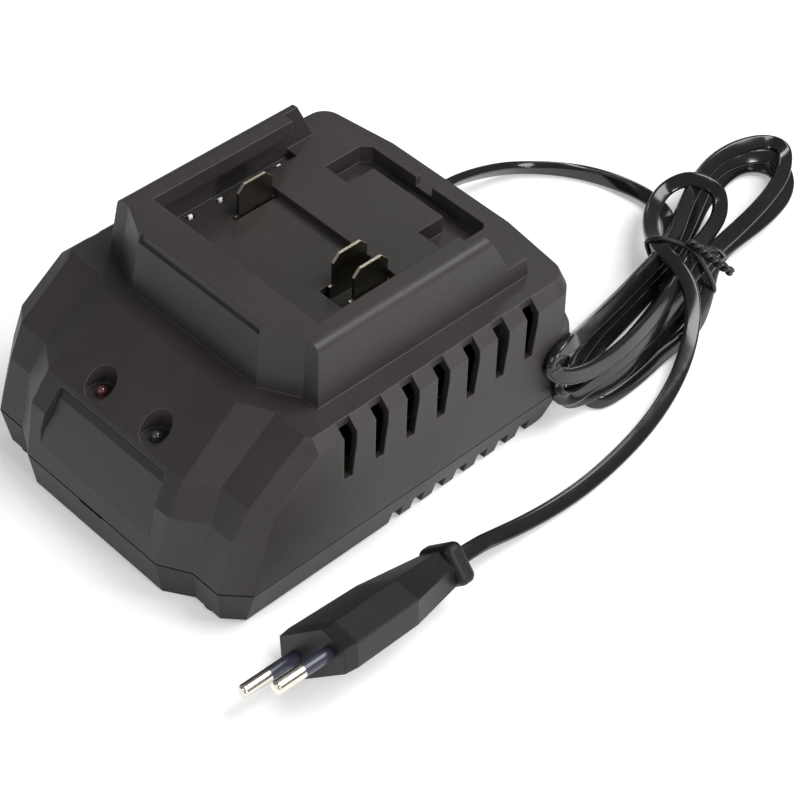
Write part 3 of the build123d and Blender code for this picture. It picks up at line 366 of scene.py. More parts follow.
def mould_texture_group() -> bpy.types.NodeTree:
    """Node group of a moulded surface: mottled colour, uneven gloss, edges lightened for wear and as painted
    highlight, and the mould's fine grain.

    Returns:
        The shader node group.
    """
    sheet, given, out = texture_group(
        "mould_texture", ("Grain Scale", "NodeSocketFloat", 1900.0), ("Mottle", "NodeSocketFloat", 0.1),
        ("Scuff", "NodeSocketFloat", 0.1), ("Edge", "NodeSocketFloat", 0.0))
    place = sheet.add("ShaderNodeTexCoord").outputs["Object"]
    cloud = sheet.spread(sheet.noise(place, 38.0, 3.0, 0.55), 0.3, 0.7, -1.0, 1.0)
    fine = sheet.noise(place, given.outputs["Grain Scale"], 2.0, 0.6)
    scratch = sheet.spread(sheet.noise(place, 210.0, 4.0, 0.72, 1.4), 0.60, 0.74)
    mottle = sheet.math("MULTIPLY", cloud, given.outputs["Mottle"])
    speck = sheet.math("MULTIPLY", sheet.math("SUBTRACT", fine, 0.5), 0.45)
    gain = sheet.math("ADD", sheet.math("ADD", mottle, speck), 1.0)
    rub = sheet.math("MULTIPLY", scratch, given.outputs["Scuff"])
    rubbed = sheet.add("ShaderNodeMix", {"data_type": "RGBA"}, i0=rub,
                       i6=sheet.scale(given.outputs["Colour"], gain), i7=RUBBED_TONE)
    # Edge lightening: partly wear, partly painted highlight.
    edge = sheet.math("MULTIPLY_ADD", given.outputs["Edge"], EDGE_LIFT, 1.0)
    gloss = sheet.math("ADD", sheet.math("MULTIPLY", cloud, 0.05), given.outputs["Roughness"])
    polish = sheet.math("MULTIPLY", rub, -0.35)
    sheet.link(sheet.scale(rubbed.outputs[2], edge), out.inputs["Colour"])
    sheet.link(sheet.math("ADD", gloss, polish, clamp=True), out.inputs["Roughness"])
    sheet.link(fine, out.inputs["Height"])
    return sheet.tree


def metal_texture_group() -> bpy.types.NodeTree:
    """Node group of drawn or rolled metal: streaks along one axis and patches of tarnish.

    Returns:
        The shader node group.
    """
    sheet, given, out = texture_group(
        "metal_texture", ("Streak", "NodeSocketVector", (200.0, 200.0, 3000.0)),
        ("Tarnish", "NodeSocketFloat", 0.15))
    place = sheet.add("ShaderNodeTexCoord").outputs["Object"]
    stretched = sheet.add("ShaderNodeVectorMath", {"operation": "MULTIPLY"}, i0=place,
                          i1=given.outputs["Streak"])
    lines = sheet.noise(stretched.outputs[0], 1.0, 3.0, 0.6)
    patch = sheet.spread(sheet.noise(place, 260.0, 3.0, 0.6), 0.42, 0.68)
    amount = sheet.math("MULTIPLY", patch, given.outputs["Tarnish"])
    mixed = sheet.add("ShaderNodeMix", {"data_type": "RGBA"}, i0=amount, i6=given.outputs["Colour"],
                      i7=sheet.scale(given.outputs["Colour"], 0.45))
    streaks = sheet.math("MULTIPLY", sheet.math("SUBTRACT", lines, 0.5), 0.22)
    dull = sheet.math("ADD", streaks, sheet.math("MULTIPLY", amount, 0.45))
    sheet.link(mixed.outputs[2], out.inputs["Colour"])
    sheet.link(sheet.math("ADD", dull, given.outputs["Roughness"], clamp=True), out.inputs["Roughness"])
    sheet.link(lines, out.inputs["Height"])
    return sheet.tree


class Palette:
    """Builds each finish once and hands out its material."""

    def __init__(self) -> None:
        """Build the shared node groups."""
        self.mould = mould_texture_group()
        self.metal_group = metal_texture_group()
        self.made: dict[str, bpy.types.Material] = {}

    def _start(self, name: str) -> tuple[bpy.types.Material, NodeSheet, bpy.types.Node]:
        """Make an empty material with its surface shader.

        Args:
            name: Name of the material.

        Returns:
            The material, its node sheet and its Principled BSDF.
        """
        material = bpy.data.materials.new(name)
        material.use_nodes = True
        material.node_tree.nodes.clear()
        sheet = NodeSheet(material.node_tree)
        shader = sheet.add("ShaderNodeBsdfPrincipled")
        sheet.add("ShaderNodeOutputMaterial", Surface=shader.outputs[0])
        self.made[name] = material
        return material, sheet, shader

    @staticmethod
    def _join(sheet: NodeSheet, look: bpy.types.Node, shader: bpy.types.Node,
              bump: bpy.types.Node | None = None, tone: bpy.types.NodeSocket | None = None) -> None:
        """Lead a texture group's results into the surface shader.

        Args:
            sheet: The material's node sheet.
            look: The texture group's node.
            shader: The Principled BSDF.
            bump: The bump node, where there is one.
            tone: Colour to use instead of the group's own.
        """
        sheet.link(tone or look.outputs["Colour"], shader.inputs["Base Color"])
        sheet.link(look.outputs["Roughness"], shader.inputs["Roughness"])
        if bump is not None:
            sheet.link(bump.outputs[0], shader.inputs["Normal"])

    def moulded(self, finish: MouldedFinish) -> bpy.types.Material:
        """Material of a moulded plastic.

        Args:
            finish: Its tone, gloss and grain.

        Returns:
            The material.
        """
        if finish.name in self.made:
            return self.made[finish.name]
        material, sheet, shader = self._start(finish.name)
        look = sheet.add("ShaderNodeGroup", {"node_tree": self.mould}, Colour=(*finish.colour, 1.0),
                         Roughness=finish.rough, Grain_Scale=finish.grain_scale, Mottle=finish.mottle,
                         Scuff=finish.scuff)
        rounded = sheet.add("ShaderNodeBevel", {"samples": 6}, Radius=finish.edge_radius)
        bump = sheet.add("ShaderNodeBump", Strength=0.55, Distance=finish.grain_depth,
                         Height=look.outputs["Height"], Normal=rounded.outputs[0])
        # Edges are lightened where the rounded normal turns from the flat one: partly wear, partly painted
        # edge highlight.
        if finish.edge_wear_and_highlight > 0.0:
            flat = sheet.add("ShaderNodeNewGeometry").outputs["True Normal"]
            turn = sheet.add("ShaderNodeVectorMath", {"operation": "DOT_PRODUCT"}, i0=flat,
                             i1=rounded.outputs[0])
            wear_and_highlight_mask = sheet.spread(turn.outputs["Value"], 0.995, 0.86, 0.0, finish.edge_wear_and_highlight)
            sheet.link(wear_and_highlight_mask, look.inputs["Edge"])
        self._join(sheet, look, shader, bump)
        shader.inputs["Specular IOR Level"].default_value = finish.specular
        return material

    def metal(self, kind: Metal) -> bpy.types.Material:
        """Material of a bare or plated metal.

        Args:
            kind: Which metal it is.

        Returns:
            The material.
        """
        finish = METALS[kind]
        if finish.name in self.made:
            return self.made[finish.name]
        material, sheet, shader = self._start(finish.name)
        look = sheet.add("ShaderNodeGroup", {"node_tree": self.metal_group}, Colour=(*finish.colour, 1.0),
                         Roughness=finish.rough, Streak=finish.streak, Tarnish=finish.tarnish)
        bump = sheet.add("ShaderNodeBump", Strength=0.25, Distance=0.00002, Height=look.outputs["Height"])
        tone = None
        # Painted shade: faces that don't face up get a darker colour, standing in for the dark reflections
        # on the blades' sides.
        if finish.painted_side_shade < 1.0:
            flat = sheet.add("ShaderNodeNewGeometry").outputs["True Normal"]
            facing = sheet.add("ShaderNodeSeparateXYZ", i0=flat)
            up = sheet.spread(facing.outputs["Z"], 0.35, 0.75, finish.painted_side_shade, 1.0)
            tone = sheet.scale(look.outputs["Colour"], up)
        self._join(sheet, look, shader, bump, tone)
        shader.inputs["Metallic"].default_value = 1.0
        return material

    def lens(self, finish: LensFinish) -> bpy.types.Material:
        """Material of a lamp's lens.

        Args:
            finish: Its tint and gloss.

        Returns:
            The material.
        """
        if finish.name in self.made:
            return self.made[finish.name]
        material, sheet, shader = self._start(finish.name)
        look = sheet.add("ShaderNodeGroup", {"node_tree": self.mould}, Colour=(*finish.colour, 1.0),
                         Roughness=finish.rough, Grain_Scale=600.0, Mottle=0.2, Scuff=0.0)
        self._join(sheet, look, shader)
        shader.inputs["Coat Weight"].default_value = finish.coat
        return material

    def board(self) -> bpy.types.Material:
        """Material of the circuit board: green mask with copper tracks under it.

        Returns:
            The material.
        """
        name = "board_mask"
        if name in self.made:
            return self.made[name]
        material, sheet, shader = self._start(name)
        place = sheet.add("ShaderNodeTexCoord").outputs["Object"]
        tracks = sheet.add("ShaderNodeTexBrick", {"offset": 0.37, "squash": 1.6}, Vector=place, Scale=120.0,
                           Color1=(0.016, 0.085, 0.024, 1.0), Color2=(0.024, 0.120, 0.034, 1.0),
                           Mortar=(0.010, 0.050, 0.016, 1.0), Mortar_Size=0.05)
        look = sheet.add("ShaderNodeGroup", {"node_tree": self.mould}, Colour=tracks.outputs["Color"],
                         Roughness=0.32, Grain_Scale=2600.0, Mottle=0.12, Scuff=0.02)
        bump = sheet.add("ShaderNodeBump", Strength=0.3, Distance=0.00005, Height=tracks.outputs["Fac"])
        self._join(sheet, look, shader, bump)
        return material


# ------------------------------------------------------------------ mesh helpers
def new_object(name: str, mesh: bpy.types.Mesh,
               material: bpy.types.Material | None = None) -> bpy.types.Object:
    """Put a mesh in the scene, its object at the origin.

    Args:
        name: Name of the piece.
        mesh: Its mesh, in metres.
        material: Its only material, if it isn't set yet.

    Returns:
        The new object.
    """
    obj = bpy.data.objects.new(name, mesh)
    bpy.context.collection.objects.link(obj)
    if material is not None:
        mesh.materials.clear()
        mesh.materials.append(material)
    return obj


def finish_mesh(name: str, bm: bmesh.types.BMesh, smooth: bool = True) -> bpy.types.Mesh:
    """Close a bmesh into a mesh with its faces outwards.

    Args:
        name: Name of the mesh.
        bm: The bmesh, freed afterwards.
        smooth: Whether its faces shade smoothly.

    Returns:
        The mesh.
    """
    bmesh.ops.remove_doubles(bm, verts=bm.verts, dist=1e-7)
    bmesh.ops.recalc_face_normals(bm, faces=bm.faces)
    mesh = bpy.data.meshes.new(name)
    bm.to_mesh(mesh)
    bm.free()
    for poly in mesh.polygons:
        poly.use_smooth = smooth
    return mesh


def nurbs_curve(name: str, points: Sequence[Point], tilts: Sequence[float] | None = None,
                resolution: int = 10) -> bpy.types.Object:
    """A curve object of one open NURBS spline.

    Args:
        name: Name of the curve.
        points: Control points, in metres.
        tilts: Tilt at each control point, in degrees.
        resolution: Steps between control points.

    Returns:
        The curve object, with no bevel.
    """
    data = bpy.data.curves.new(name, "CURVE")
    data.dimensions = "3D"
    data.twist_mode = "Z_UP"
    spline = data.splines.new("NURBS")
    spline.points.add(len(points) - 1)
    for i, (point, co) in enumerate(zip(spline.points, points)):
        point.co = (*co, 1.0)
        point.tilt = math.radians(tilts[i]) if tilts else 0.0
    spline.order_u = 3
    spline.use_endpoint_u = True
    spline.resolution_u = resolution
    obj = bpy.data.objects.new(name, data)
    bpy.context.collection.objects.link(obj)
    return obj


def line_points(curve: bpy.types.Object) -> list[Vector]:
    """Points along a curve that has no bevel, read from its own mesh.

    Args:
        curve: The curve object.

    Returns:
        Its points, in metres.
    """
    bpy.context.view_layer.update()
    evaluated = curve.evaluated_get(bpy.context.evaluated_depsgraph_get())
    mesh = bpy.data.meshes.new_from_object(evaluated)
    points = [v.co.copy() for v in mesh.vertices]
    bpy.data.meshes.remove(mesh)
    return points


def open_tree(name: str, *inputs: tuple[str, str, object]) -> tuple[NodeSheet, bpy.types.Node]:
    """Start a Geometry Nodes tree that takes a geometry, the named inputs and a finish.

    Args:
        name: Name of the tree.
        *inputs: Name, socket type and default of each named input.

    Returns:
        Its node sheet and its input node.
    """
    tree = bpy.data.node_groups.new(name, "GeometryNodeTree")
    group_socket(tree, "Geometry", "INPUT", "NodeSocketGeometry")
    for label, kind, default in inputs:
        group_socket(tree, label, "INPUT", kind, default)
    group_socket(tree, "Finish", "INPUT", "NodeSocketMaterial")
    group_socket(tree, "Geometry", "OUTPUT", "NodeSocketGeometry")
    sheet = NodeSheet(tree)
    return sheet, sheet.add("NodeGroupInput")


def close_tree(sheet: NodeSheet, given: bpy.types.Node, shape: bpy.types.NodeSocket) -> bpy.types.NodeTree:
    """End a Geometry Nodes tree: make its copies real and give them the finish.

    Args:
        sheet: The tree's node sheet.
        given: Its input node.
        shape: The geometry that it has made.

    Returns:
        The finished tree.
    """
    real = sheet.add("GeometryNodeRealizeInstances", Geometry=shape)
    dressed = sheet.add("GeometryNodeSetMaterial", Geometry=real.outputs[0],
                        Material=given.outputs["Finish"])
    sheet.link(dressed.outputs[0], sheet.add("NodeGroupOutput").inputs[0])
    return sheet.tree


def strip_sweep_tree() -> bpy.types.NodeTree:
    """Geometry Nodes tree that runs a rounded oblong section along a curve.

    Returns:
        The tree, with named inputs Width, Thickness, Rounding and Finish.
    """
    sheet, given = open_tree("strip_sweep", *((name, "NodeSocketFloat", default) for name, default in (
        ("Width", 0.0049), ("Thickness", 0.0029), ("Rounding", 0.0009))))
    oblong = sheet.add("GeometryNodeCurvePrimitiveQuadrilateral", Width=given.outputs["Width"],
                       Height=given.outputs["Thickness"])
    rounded = sheet.add("GeometryNodeFilletCurve", Curve=oblong.outputs[0],
                        Radius=given.outputs["Rounding"], Limit_Radius=True)
    rounded.mode = "POLY"
    rounded.inputs["Count"].default_value = 4
    swept = sheet.add("GeometryNodeCurveToMesh", Curve=given.outputs["Geometry"],
                      Profile_Curve=rounded.outputs[0], Fill_Caps=True)
    smooth = sheet.add("GeometryNodeSetShadeSmooth", Geometry=swept.outputs[0])
    return close_tree(sheet, given, smooth.outputs[0])


def row_tree() -> bpy.types.NodeTree:
    """Geometry Nodes tree that repeats a small part along a straight row.

    Returns:
        The tree, with named inputs Count, Step and Finish.
    """
    sheet, given = open_tree("part_row", ("Count", "NodeSocketInt", 4),
                             ("Step", "NodeSocketVector", (0.0, 0.01, 0.0)))
    row = sheet.add("GeometryNodeMeshLine", {"mode": "OFFSET"}, Count=given.outputs["Count"],
                    Offset=given.outputs["Step"])
    copies = sheet.add("GeometryNodeInstanceOnPoints", Points=row.outputs[0],
                       Instance=given.outputs["Geometry"])
    return close_tree(sheet, given, copies.outputs[0])


def bake_nodes(source: bpy.types.Object, tree: bpy.types.NodeTree, values: dict[str, object],
               name: str) -> bpy.types.Object:
    """Run a Geometry Nodes tree on an object and keep the result as a plain mesh.

    Args:
        source: The object that the tree starts from; it is removed.
        tree: The tree.
        values: Its inputs, by name.
        name: Name of the finished piece.

    Returns:
        The finished piece, with no modifier.
    """
    modifier = source.modifiers.new("shape", "NODES")
    modifier.node_group = tree
    for item in tree.interface.items_tree:
        if item.item_type == "SOCKET" and item.in_out == "INPUT" and item.name in values:
            modifier[item.identifier] = values[item.name]
    bpy.context.view_layer.update()
    evaluated = source.evaluated_get(bpy.context.evaluated_depsgraph_get())
    mesh = bpy.data.meshes.new_from_object(evaluated)
    data = source.data
    bpy.data.objects.remove(source)
    if isinstance(data, bpy.types.Mesh):
        bpy.data.meshes.remove(data)
    bm = bmesh.new()
    bm.from_mesh(mesh)
    bmesh.ops.remove_doubles(bm, verts=bm.verts, dist=1e-7)
    bmesh.ops.recalc_face_normals(bm, faces=bm.faces)
    bm.to_mesh(mesh)
    bm.free()
    mesh.name = name
    return new_object(name, mesh)


def scaled(points: Sequence[Point]) -> list[Point]:
    """Millimetres to metres.

    Args:
        points: Points in millimetres.

    Returns:
        The same points in metres.
    """
    return [(x * MM, y * MM, z * MM) for x, y, z in points]


def twisted_pair(line: Sequence[Point], radius: float, turns: float, steps: int = 30) -> list[list[Point]]:
    """Two strands wound round each other along a line.

    Args:
        line: Control points of the line, in millimetres.
        radius: Distance of each strand's axis from the line.
        turns: Number of full turns along the line.
        steps: Points on each strand.

    Returns:
        The control points of the two strands.
    """
    spans = [(Vector(b) - Vector(a)).length for a, b in zip(line, line[1:])]
    total = sum(spans)
    strands: list[list[Point]] = [[], []]
    for k in range(steps):
        reach, i = total * k / (steps - 1), 0
        while i < len(spans) - 1 and reach > spans[i]:
            reach -= spans[i]
            i += 1
        a, b = Vector(line[i]), Vector(line[i + 1])
        along = (b - a).normalized()
        side = along.cross(Vector((0.0, 0.0, 1.0))).normalized()
        over = side.cross(along)
        angle = 2 * math.pi * turns * k / (steps - 1)
        for s, strand in enumerate(strands):
            turned = math.cos(angle + s * math.pi) * side + math.sin(angle + s * math.pi) * over
            strand.append(tuple(a + along * reach + turned * radius))
    return strands


def join_pieces(name: str, parts: Sequence[bpy.types.Object], smooth: bool = True) -> bpy.types.Object:
    """Join plain meshes that share their finish into one piece.

    Args:
        name: Name of the joined piece.
        parts: The pieces, removed afterwards.
        smooth: Whether its faces shade smoothly.

    Returns:
        The joined piece.
    """
    bm = bmesh.new()
    material = parts[0].data.materials[0]
    for part in parts:
        bm.from_mesh(part.data)
    mesh = bpy.data.meshes.new(name)
    bm.to_mesh(mesh)
    bm.free()
    for part in parts:
        bpy.data.objects.remove(part)
    for poly in mesh.polygons:
        poly.use_smooth = smooth
    return new_object(name, mesh, material)


def set_finish(node: str, material: bpy.types.Material) -> None:
    """Give a CAD node its finished material.

    Args:
        node: Name of the node.
        material: The material for all its slots.
    """
    obj = bpy.data.objects[node]
    if not obj.data.materials:
        obj.data.materials.append(material)
    for slot in obj.material_slots:
        slot.material = material


# ------------------------------------------------------------------ sub-assemblies
@dataclass
class Housing:
    """The two moulded housings and what is fixed to their outside."""

    palette: Palette
    label_foot: tuple[float, float] = (-68.55, 18.2)
    label_head: tuple[float, float] = (-59.3, 37.3)
    label_lift: float = 0.12
    label_shoulder: float = 0.084
    label_bevel: float = 0.18
    band_lap: float = 0.02

    def panel(self, name: str, right: list[tuple[float, float]], start: float,
              finish: MouldedFinish) -> bpy.types.Object:
        """Make a thin panel that lies on the sloping floor of the label recess.

        Args:
            name: Name of the piece.
            right: Right half of its front-view outline, (x, z) in millimetres, from the top down.
            start: How far its back lies above the recess floor.
            finish: Its finish.

        Returns:
            The panel.
        """
        (y0, z0), (y1, z1) = self.label_foot, self.label_head
        along = Vector((0.0, y1 - y0, z1 - z0)).normalized()
        out = Vector((0.0, -along.z, along.y))
        outline = right + [(-x, z) for x, z in reversed(right)]
        middle = sum(z for _, z in right) / len(right)
        bm = bmesh.new()
        rims: list[list[bmesh.types.BMVert]] = []
        for lift, inset in ((0.0, 0.0), (self.label_shoulder, 0.0), (self.label_lift, self.label_bevel)):
            rim = []
            for x, z in outline:
                y = y0 + (z - z0) * (y1 - y0) / (z1 - z0)
                dx = -math.copysign(inset, x)
                shift = math.copysign(inset, middle - z) * along.z
                p = Vector((x + dx, y, z)) + along * shift + out * (start + lift)
                rim.append(bm.verts.new(p * MM))
            rims.append(rim)
        n = len(rims[0])
        for low, high in zip(rims, rims[1:]):
            for i in range(n):
                bm.faces.new((low[i], low[(i + 1) % n], high[(i + 1) % n], high[i]))
        bm.faces.new(rims[0])
        bm.faces.new(rims[-1])
        panel = new_object(name, finish_mesh(name, bm, smooth=False), self.palette.moulded(finish))
        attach(panel, "root")
        return panel

    def build_label(self) -> None:
        """Make the bare label of the front face, and a darker sheet along its head as painted shade of the
        recess's upper wall.
        """
        blank = [(21.3, 37.1), (22.6, 36.0), (24.1, 24.0), (23.3, 19.6), (21.6, 18.9)]
        # Outline of the darker sheet that carries the painted shade under the recess's upper wall.
        band = [(20.9, 36.9), (21.9, 36.0), (22.2, 34.2)]
        self.panel("label_blank", blank, 0.0, LABEL)
        self.panel("label_band", band, self.label_lift - self.band_lap, LABEL_PAINTED_SHADE)

    def dress(self) -> None:
        """Give the housings, feet and screws their finishes."""
        shell, base = self.palette.moulded(SHELL), self.palette.moulded(BASE)
        set_finish("upper_housing", shell)
        set_finish("lower_housing", base)
        set_finish("rubber_feet", self.palette.moulded(RUBBER))
        set_finish("housing_screws", self.palette.metal(Metal.ZINC))
        self.build_label()
        log.info("housing dressed")


@dataclass
class Dock:
    """The battery dock's terminals, their carrier, and the plated tabs in the channel slots."""

    palette: Palette
    tab_x: float = 35.6
    tab_y: float = -3.0
    tab_step: float = 11.23
    tab_count: int = 4
    tab_span: tuple[float, float] = (0.75, 2.05)
    tab_section: tuple[tuple[float, float], ...] = (
        (-0.45, 54.55), (-0.45, 57.5), (-0.25, 57.7), (0.25, 57.7), (0.45, 57.5), (0.45, 53.95),
        (-3.2, 53.95), (-3.2, 54.55))

    def build_tabs(self) -> bpy.types.Object:
        """Make the rows of small bent tabs, each held under the channel floor by its foot.

        Returns:
            The tabs of both channels, as one piece.
        """
        tree = row_tree()
        finish = self.palette.metal(Metal.NICKEL)
        rows = []
        for side in (-1, 1):
            bm = bmesh.new()
            ends = []
            for reach in self.tab_span:
                y = self.tab_y + reach
                ends.append([bm.verts.new((side * (self.tab_x + x) * MM, y * MM, z * MM))
                             for x, z in self.tab_section])
            n = len(self.tab_section)
            for i in range(n):
                bm.faces.new((ends[0][i], ends[0][(i + 1) % n], ends[1][(i + 1) % n], ends[1][i]))
            for end in ends:
                bm.faces.new(end)
            one = new_object(f"tab_{side}", finish_mesh("tab", bm, smooth=False))
            values = {"Count": self.tab_count, "Step": (0.0, self.tab_step * MM, 0.0), "Finish": finish}
            rows.append(bake_nodes(one, tree, values, f"tab_row_{side}"))
        tabs = join_pieces("slot_tabs", rows, smooth=False)
        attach(tabs, "root")
        return tabs

    def dress(self) -> None:
        """Give the blades, carrier, screws and wires their finishes."""
        for node in ("terminal_left", "terminal_middle", "terminal_right"):
            set_finish(node, self.palette.metal(Metal.BRASS))
        set_finish("terminal_carrier", self.palette.moulded(CARRIER))
        set_finish("terminal_screws", self.palette.metal(Metal.ZINC))
        set_finish("terminal_wires", self.palette.moulded(RED_WIRE))
        self.build_tabs()
        log.info("dock dressed")


@dataclass
class Lamps:
    """The two indicators in their wells."""

    palette: Palette

    def dress(self) -> None:
        """Give the lamps, their spacers and their leads their finishes."""
        set_finish("led_red", self.palette.lens(RED_LENS))
        set_finish("led_green", self.palette.lens(CLEAR_LENS))
        set_finish("led_spacers", self.palette.moulded(NYLON))
        set_finish("led_leads", self.palette.metal(Metal.ZINC))
        log.info("lamps dressed")


@dataclass
class Electronics:
    """Everything on the circuit board, seen through the vents and from below the housing."""

    palette: Palette
    moulded_nodes: dict[str, MouldedFinish] = field(default_factory=lambda: {
        "transformer_core": FERRITE, "transformer_bobbin": BOBBIN, "choke_core": FERRITE,
        "suppression_capacitor": YELLOW, "bridge_rectifier": EPOXY, "bulk_capacitor": CAN,
        "power_transistor": EPOXY, "output_diode": EPOXY, "filter_capacitors": CAN, "controller_chip": EPOXY,
        "optocoupler": EPOXY, "safety_capacitor": DISC, "mains_leads": BROWN_WIRE, "cord_clamp": EPOXY,
        "fuse": NYLON})
    metal_nodes: dict[str, Metal] = field(default_factory=lambda: {
        "transformer_winding": Metal.COPPER, "choke_winding": Metal.COPPER, "filter_coil": Metal.COPPER,
        "heat_sink": Metal.ANODISED, "output_heat_plate": Metal.ANODISED,
        "heat_sink_screw": Metal.ZINC, "board_screws": Metal.ZINC, "clamp_screws": Metal.ZINC})

    def dress(self) -> None:
        """Give every board component its finish."""
        for node, finish in self.moulded_nodes.items():
            set_finish(node, self.palette.moulded(finish))
        for node, metal in self.metal_nodes.items():
            set_finish(node, self.palette.metal(metal))
        set_finish("circuit_board", self.palette.board())
        log.info("electronics dressed")


@dataclass
class MainsLead:
    """The flat lead with its tied hank, the wire tie, and the plug on its end."""

    palette: Palette
    width: float = 4.9
    thickness: float = 2.9
    rounding: float = 0.87
    tie_width: float = 1.7
    tie_thickness: float = 1.25
    tie_rounding: float = 0.5
    twist_radius: float = 0.8
    twist_turns: float = 3.5
    exit: Point = (-34.5, 92.0, 12.9)
    route: list[tuple[float, float, float, float]] = field(default_factory=lambda: LEAD_ROUTE)

    def build_cord(self, sweep: bpy.types.NodeTree) -> tuple[bpy.types.Object, list[Point], float]:
        """Sweep the flat section along the whole route.

        Args:
            sweep: The tree that runs a section along a curve.

        Returns:
            The cord piece, and the points and length of its centre line in metres.
        """
        points = scaled([(x, y, z) for x, y, z, _ in self.route])
        curve = nurbs_curve("lead_line", points, [turn for *_, turn in self.route], resolution=8)
        line = line_points(curve)
        section = {"Width": self.width * MM, "Thickness": self.thickness * MM,
                   "Rounding": self.rounding * MM, "Finish": self.palette.moulded(VINYL)}
        cord = bake_nodes(curve, sweep, section, "mains_cord")
        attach(cord, "root")
        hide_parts("cord_lead", "cord_hank", "cord_tail")
        length = sum((b - a).length for a, b in zip(line, line[1:]))
        log.info("cord length %.3f m, %d route points", length, len(points))
        return cord, [tuple(p) for p in line], length

    def build_tie(self, sweep: bpy.types.NodeTree) -> bpy.types.Object:
        """Make the coated wire tie: a band round the hank's waist and its twisted ends.

        Args:
            sweep: The tree that runs a section along a curve.

        Returns:
            The tie piece.
        """
        section = {"Width": self.tie_width * MM, "Thickness": self.tie_thickness * MM,
                   "Rounding": self.tie_rounding * MM, "Finish": self.palette.moulded(TIE)}
        runs = [TIE_BAND, *twisted_pair(TIE_TWIST, self.twist_radius, self.twist_turns), TIE_TIP]
        parts = [bake_nodes(nurbs_curve(f"tie_line_{i}", scaled(run), resolution=8), sweep, section,
                            f"tie_part_{i}") for i, run in enumerate(runs)]
        tie = join_pieces("wire_tie", parts)
        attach(tie, "root")
        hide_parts("twist_tie")
        return tie

    def dress(self) -> None:
        sweep = strip_sweep_tree()
        cord, line, length = self.build_cord(sweep)
        tie = self.build_tie(sweep)
        set_finish("strain_relief", self.palette.moulded(PLUG))
        set_finish("cord_inner", self.palette.moulded(VINYL))
        set_finish("plug_body", self.palette.moulded(PLUG))
        set_finish("plug_pins", self.palette.metal(Metal.NICKEL))
        set_finish("pin_sleeves", self.palette.moulded(SLEEVE))
        log.info("lead dressed")


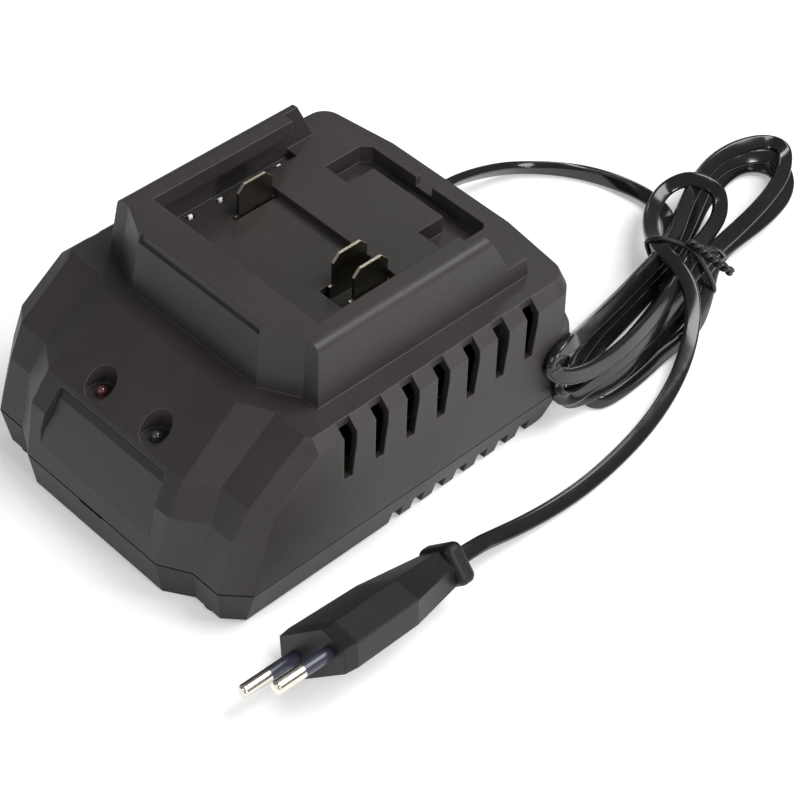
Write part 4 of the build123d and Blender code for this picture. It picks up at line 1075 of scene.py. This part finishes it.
@dataclass
class Studio:
    """Floor, lamps, world and camera."""

    focal: float = 2505.40
    centre: tuple[float, float] = (418.87, 404.19)
    azimuth: float = 44.29
    elevation: float = 44.70
    roll: float = 2.49
    place: Point = (390.82, -342.33, 522.23)
    picture: float = 800.0
    sensor: float = 36.0
    floor_reach: float = 3.0
    floor_drop: float = 0.0002
    floor_tone: float = 0.86
    floor_light: float = 0.30
    world_light: float = 0.22
    lamps: tuple[tuple[str, Point, Point, float, float], ...] = (
        ("key", (0.45, 0.55, 1.10), (0.0, 0.02, 0.03), 0.80, 15.0),
        ("right", (1.25, -0.10, 0.60), (0.02, 0.02, 0.03), 0.35, 8.5),
        ("front", (0.10, -1.20, 0.75), (0.0, 0.0, 0.03), 0.70, 4.0),
        ("back", (-0.50, 0.75, 0.85), (0.03, 0.08, 0.02), 0.16, 0.9),
    )

    def _paper(self) -> bpy.types.Material:
        """Pale floor that shows white to the camera and in reflections, and keeps the shadow.

        Returns:
            The floor's material.
        """
        material = bpy.data.materials.new("paper_floor")
        material.use_nodes = True
        material.node_tree.nodes.clear()
        sheet = NodeSheet(material.node_tree)
        paper = sheet.add("ShaderNodeBsdfDiffuse", Color=(*(self.floor_tone,) * 3, 1.0))
        light = sheet.add("ShaderNodeEmission", Color=WHITE, Strength=self.floor_light)
        dark = sheet.add("ShaderNodeEmission", Color=WHITE, Strength=0.0)
        ray = sheet.add("ShaderNodeLightPath")
        seen = sheet.math("MAXIMUM", ray.outputs["Is Camera Ray"], ray.outputs["Is Glossy Ray"])
        glow = sheet.add("ShaderNodeMixShader", Fac=seen, i1=dark.outputs[0], i2=light.outputs[0])
        both = sheet.add("ShaderNodeAddShader", i0=paper.outputs[0], i1=glow.outputs[0])
        sheet.add("ShaderNodeOutputMaterial", Surface=both.outputs[0])
        return material

    def build_floor(self) -> None:
        """Lay the plain floor under the object."""
        bm = bmesh.new()
        for x, y in ((-1, -1), (1, -1), (1, 1), (-1, 1)):
            bm.verts.new((x * self.floor_reach, y * self.floor_reach, -self.floor_drop))
        bm.faces.new(bm.verts)
        mesh = bpy.data.meshes.new("floor")
        bm.to_mesh(mesh)
        bm.free()
        new_object("floor", mesh, self._paper())

    def build_lamps(self) -> None:
        """Place the soft lamps and the even world light."""
        for name, place, target, size, power in self.lamps:
            data = bpy.data.lights.new(name, "AREA")
            data.energy, data.size = power, size
            lamp = bpy.data.objects.new(name, data)
            lamp.location = place
            lamp.rotation_euler = (Vector(target) - Vector(place)).to_track_quat("-Z", "Y").to_euler()
            bpy.context.collection.objects.link(lamp)
        world = bpy.data.worlds.new("studio")
        bpy.context.scene.world = world
        world.use_nodes = True
        world.node_tree.nodes.clear()
        sheet = NodeSheet(world.node_tree)
        ray = sheet.add("ShaderNodeLightPath")
        strength = sheet.spread(ray.outputs["Is Camera Ray"], 0.0, 1.0, self.world_light, 1.0)
        back = sheet.add("ShaderNodeBackground", Color=WHITE, Strength=strength)
        sheet.add("ShaderNodeOutputWorld", Surface=back.outputs[0])

    def build_camera(self) -> None:
        """Stand the camera at its place, with its roll and shift."""
        az, el, roll = (math.radians(v) for v in (self.azimuth, self.elevation, self.roll))
        back = Vector((math.sin(az) * math.cos(el), -math.cos(az) * math.cos(el), math.sin(el)))
        right = (-back).cross(Vector((0.0, 0.0, 1.0))).normalized()
        up = right.cross(-back)
        turned_right = math.cos(roll) * right + math.sin(roll) * up
        turned_up = -math.sin(roll) * right + math.cos(roll) * up
        data = bpy.data.cameras.new("camera")
        data.sensor_width = self.sensor
        data.lens = self.focal / self.picture * self.sensor
        data.shift_x = 0.5 - self.centre[0] / self.picture
        data.shift_y = self.centre[1] / self.picture - 0.5
        data.clip_start, data.clip_end = 0.01, 20.0
        camera = bpy.data.objects.new("camera", data)
        matrix = Matrix((turned_right, turned_up, back)).transposed().to_4x4()
        matrix.translation = Vector(self.place) * MM
        camera.matrix_world = matrix
        bpy.context.collection.objects.link(camera)
        bpy.context.scene.camera = camera

    def build(self) -> None:
        """Build the whole studio."""
        self.build_floor()
        self.build_lamps()
        self.build_camera()
        bpy.context.scene.view_settings.view_transform = "Standard"
        log.info("studio built")


def main() -> None:
    """Load the frame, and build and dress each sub-assembly in order."""
    logging.basicConfig(level=logging.INFO, format="%(name)s: %(message)s")
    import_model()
    palette = Palette()
    steps: list[Callable[[], None]] = [
        Studio().build, Housing(palette).dress, Dock(palette).dress, Lamps(palette).dress,
        Electronics(palette).dress, MainsLead(palette).dress]
    for step in steps:
        step()
    log.info("all pieces built")


if __name__ == "__main__":
    main()
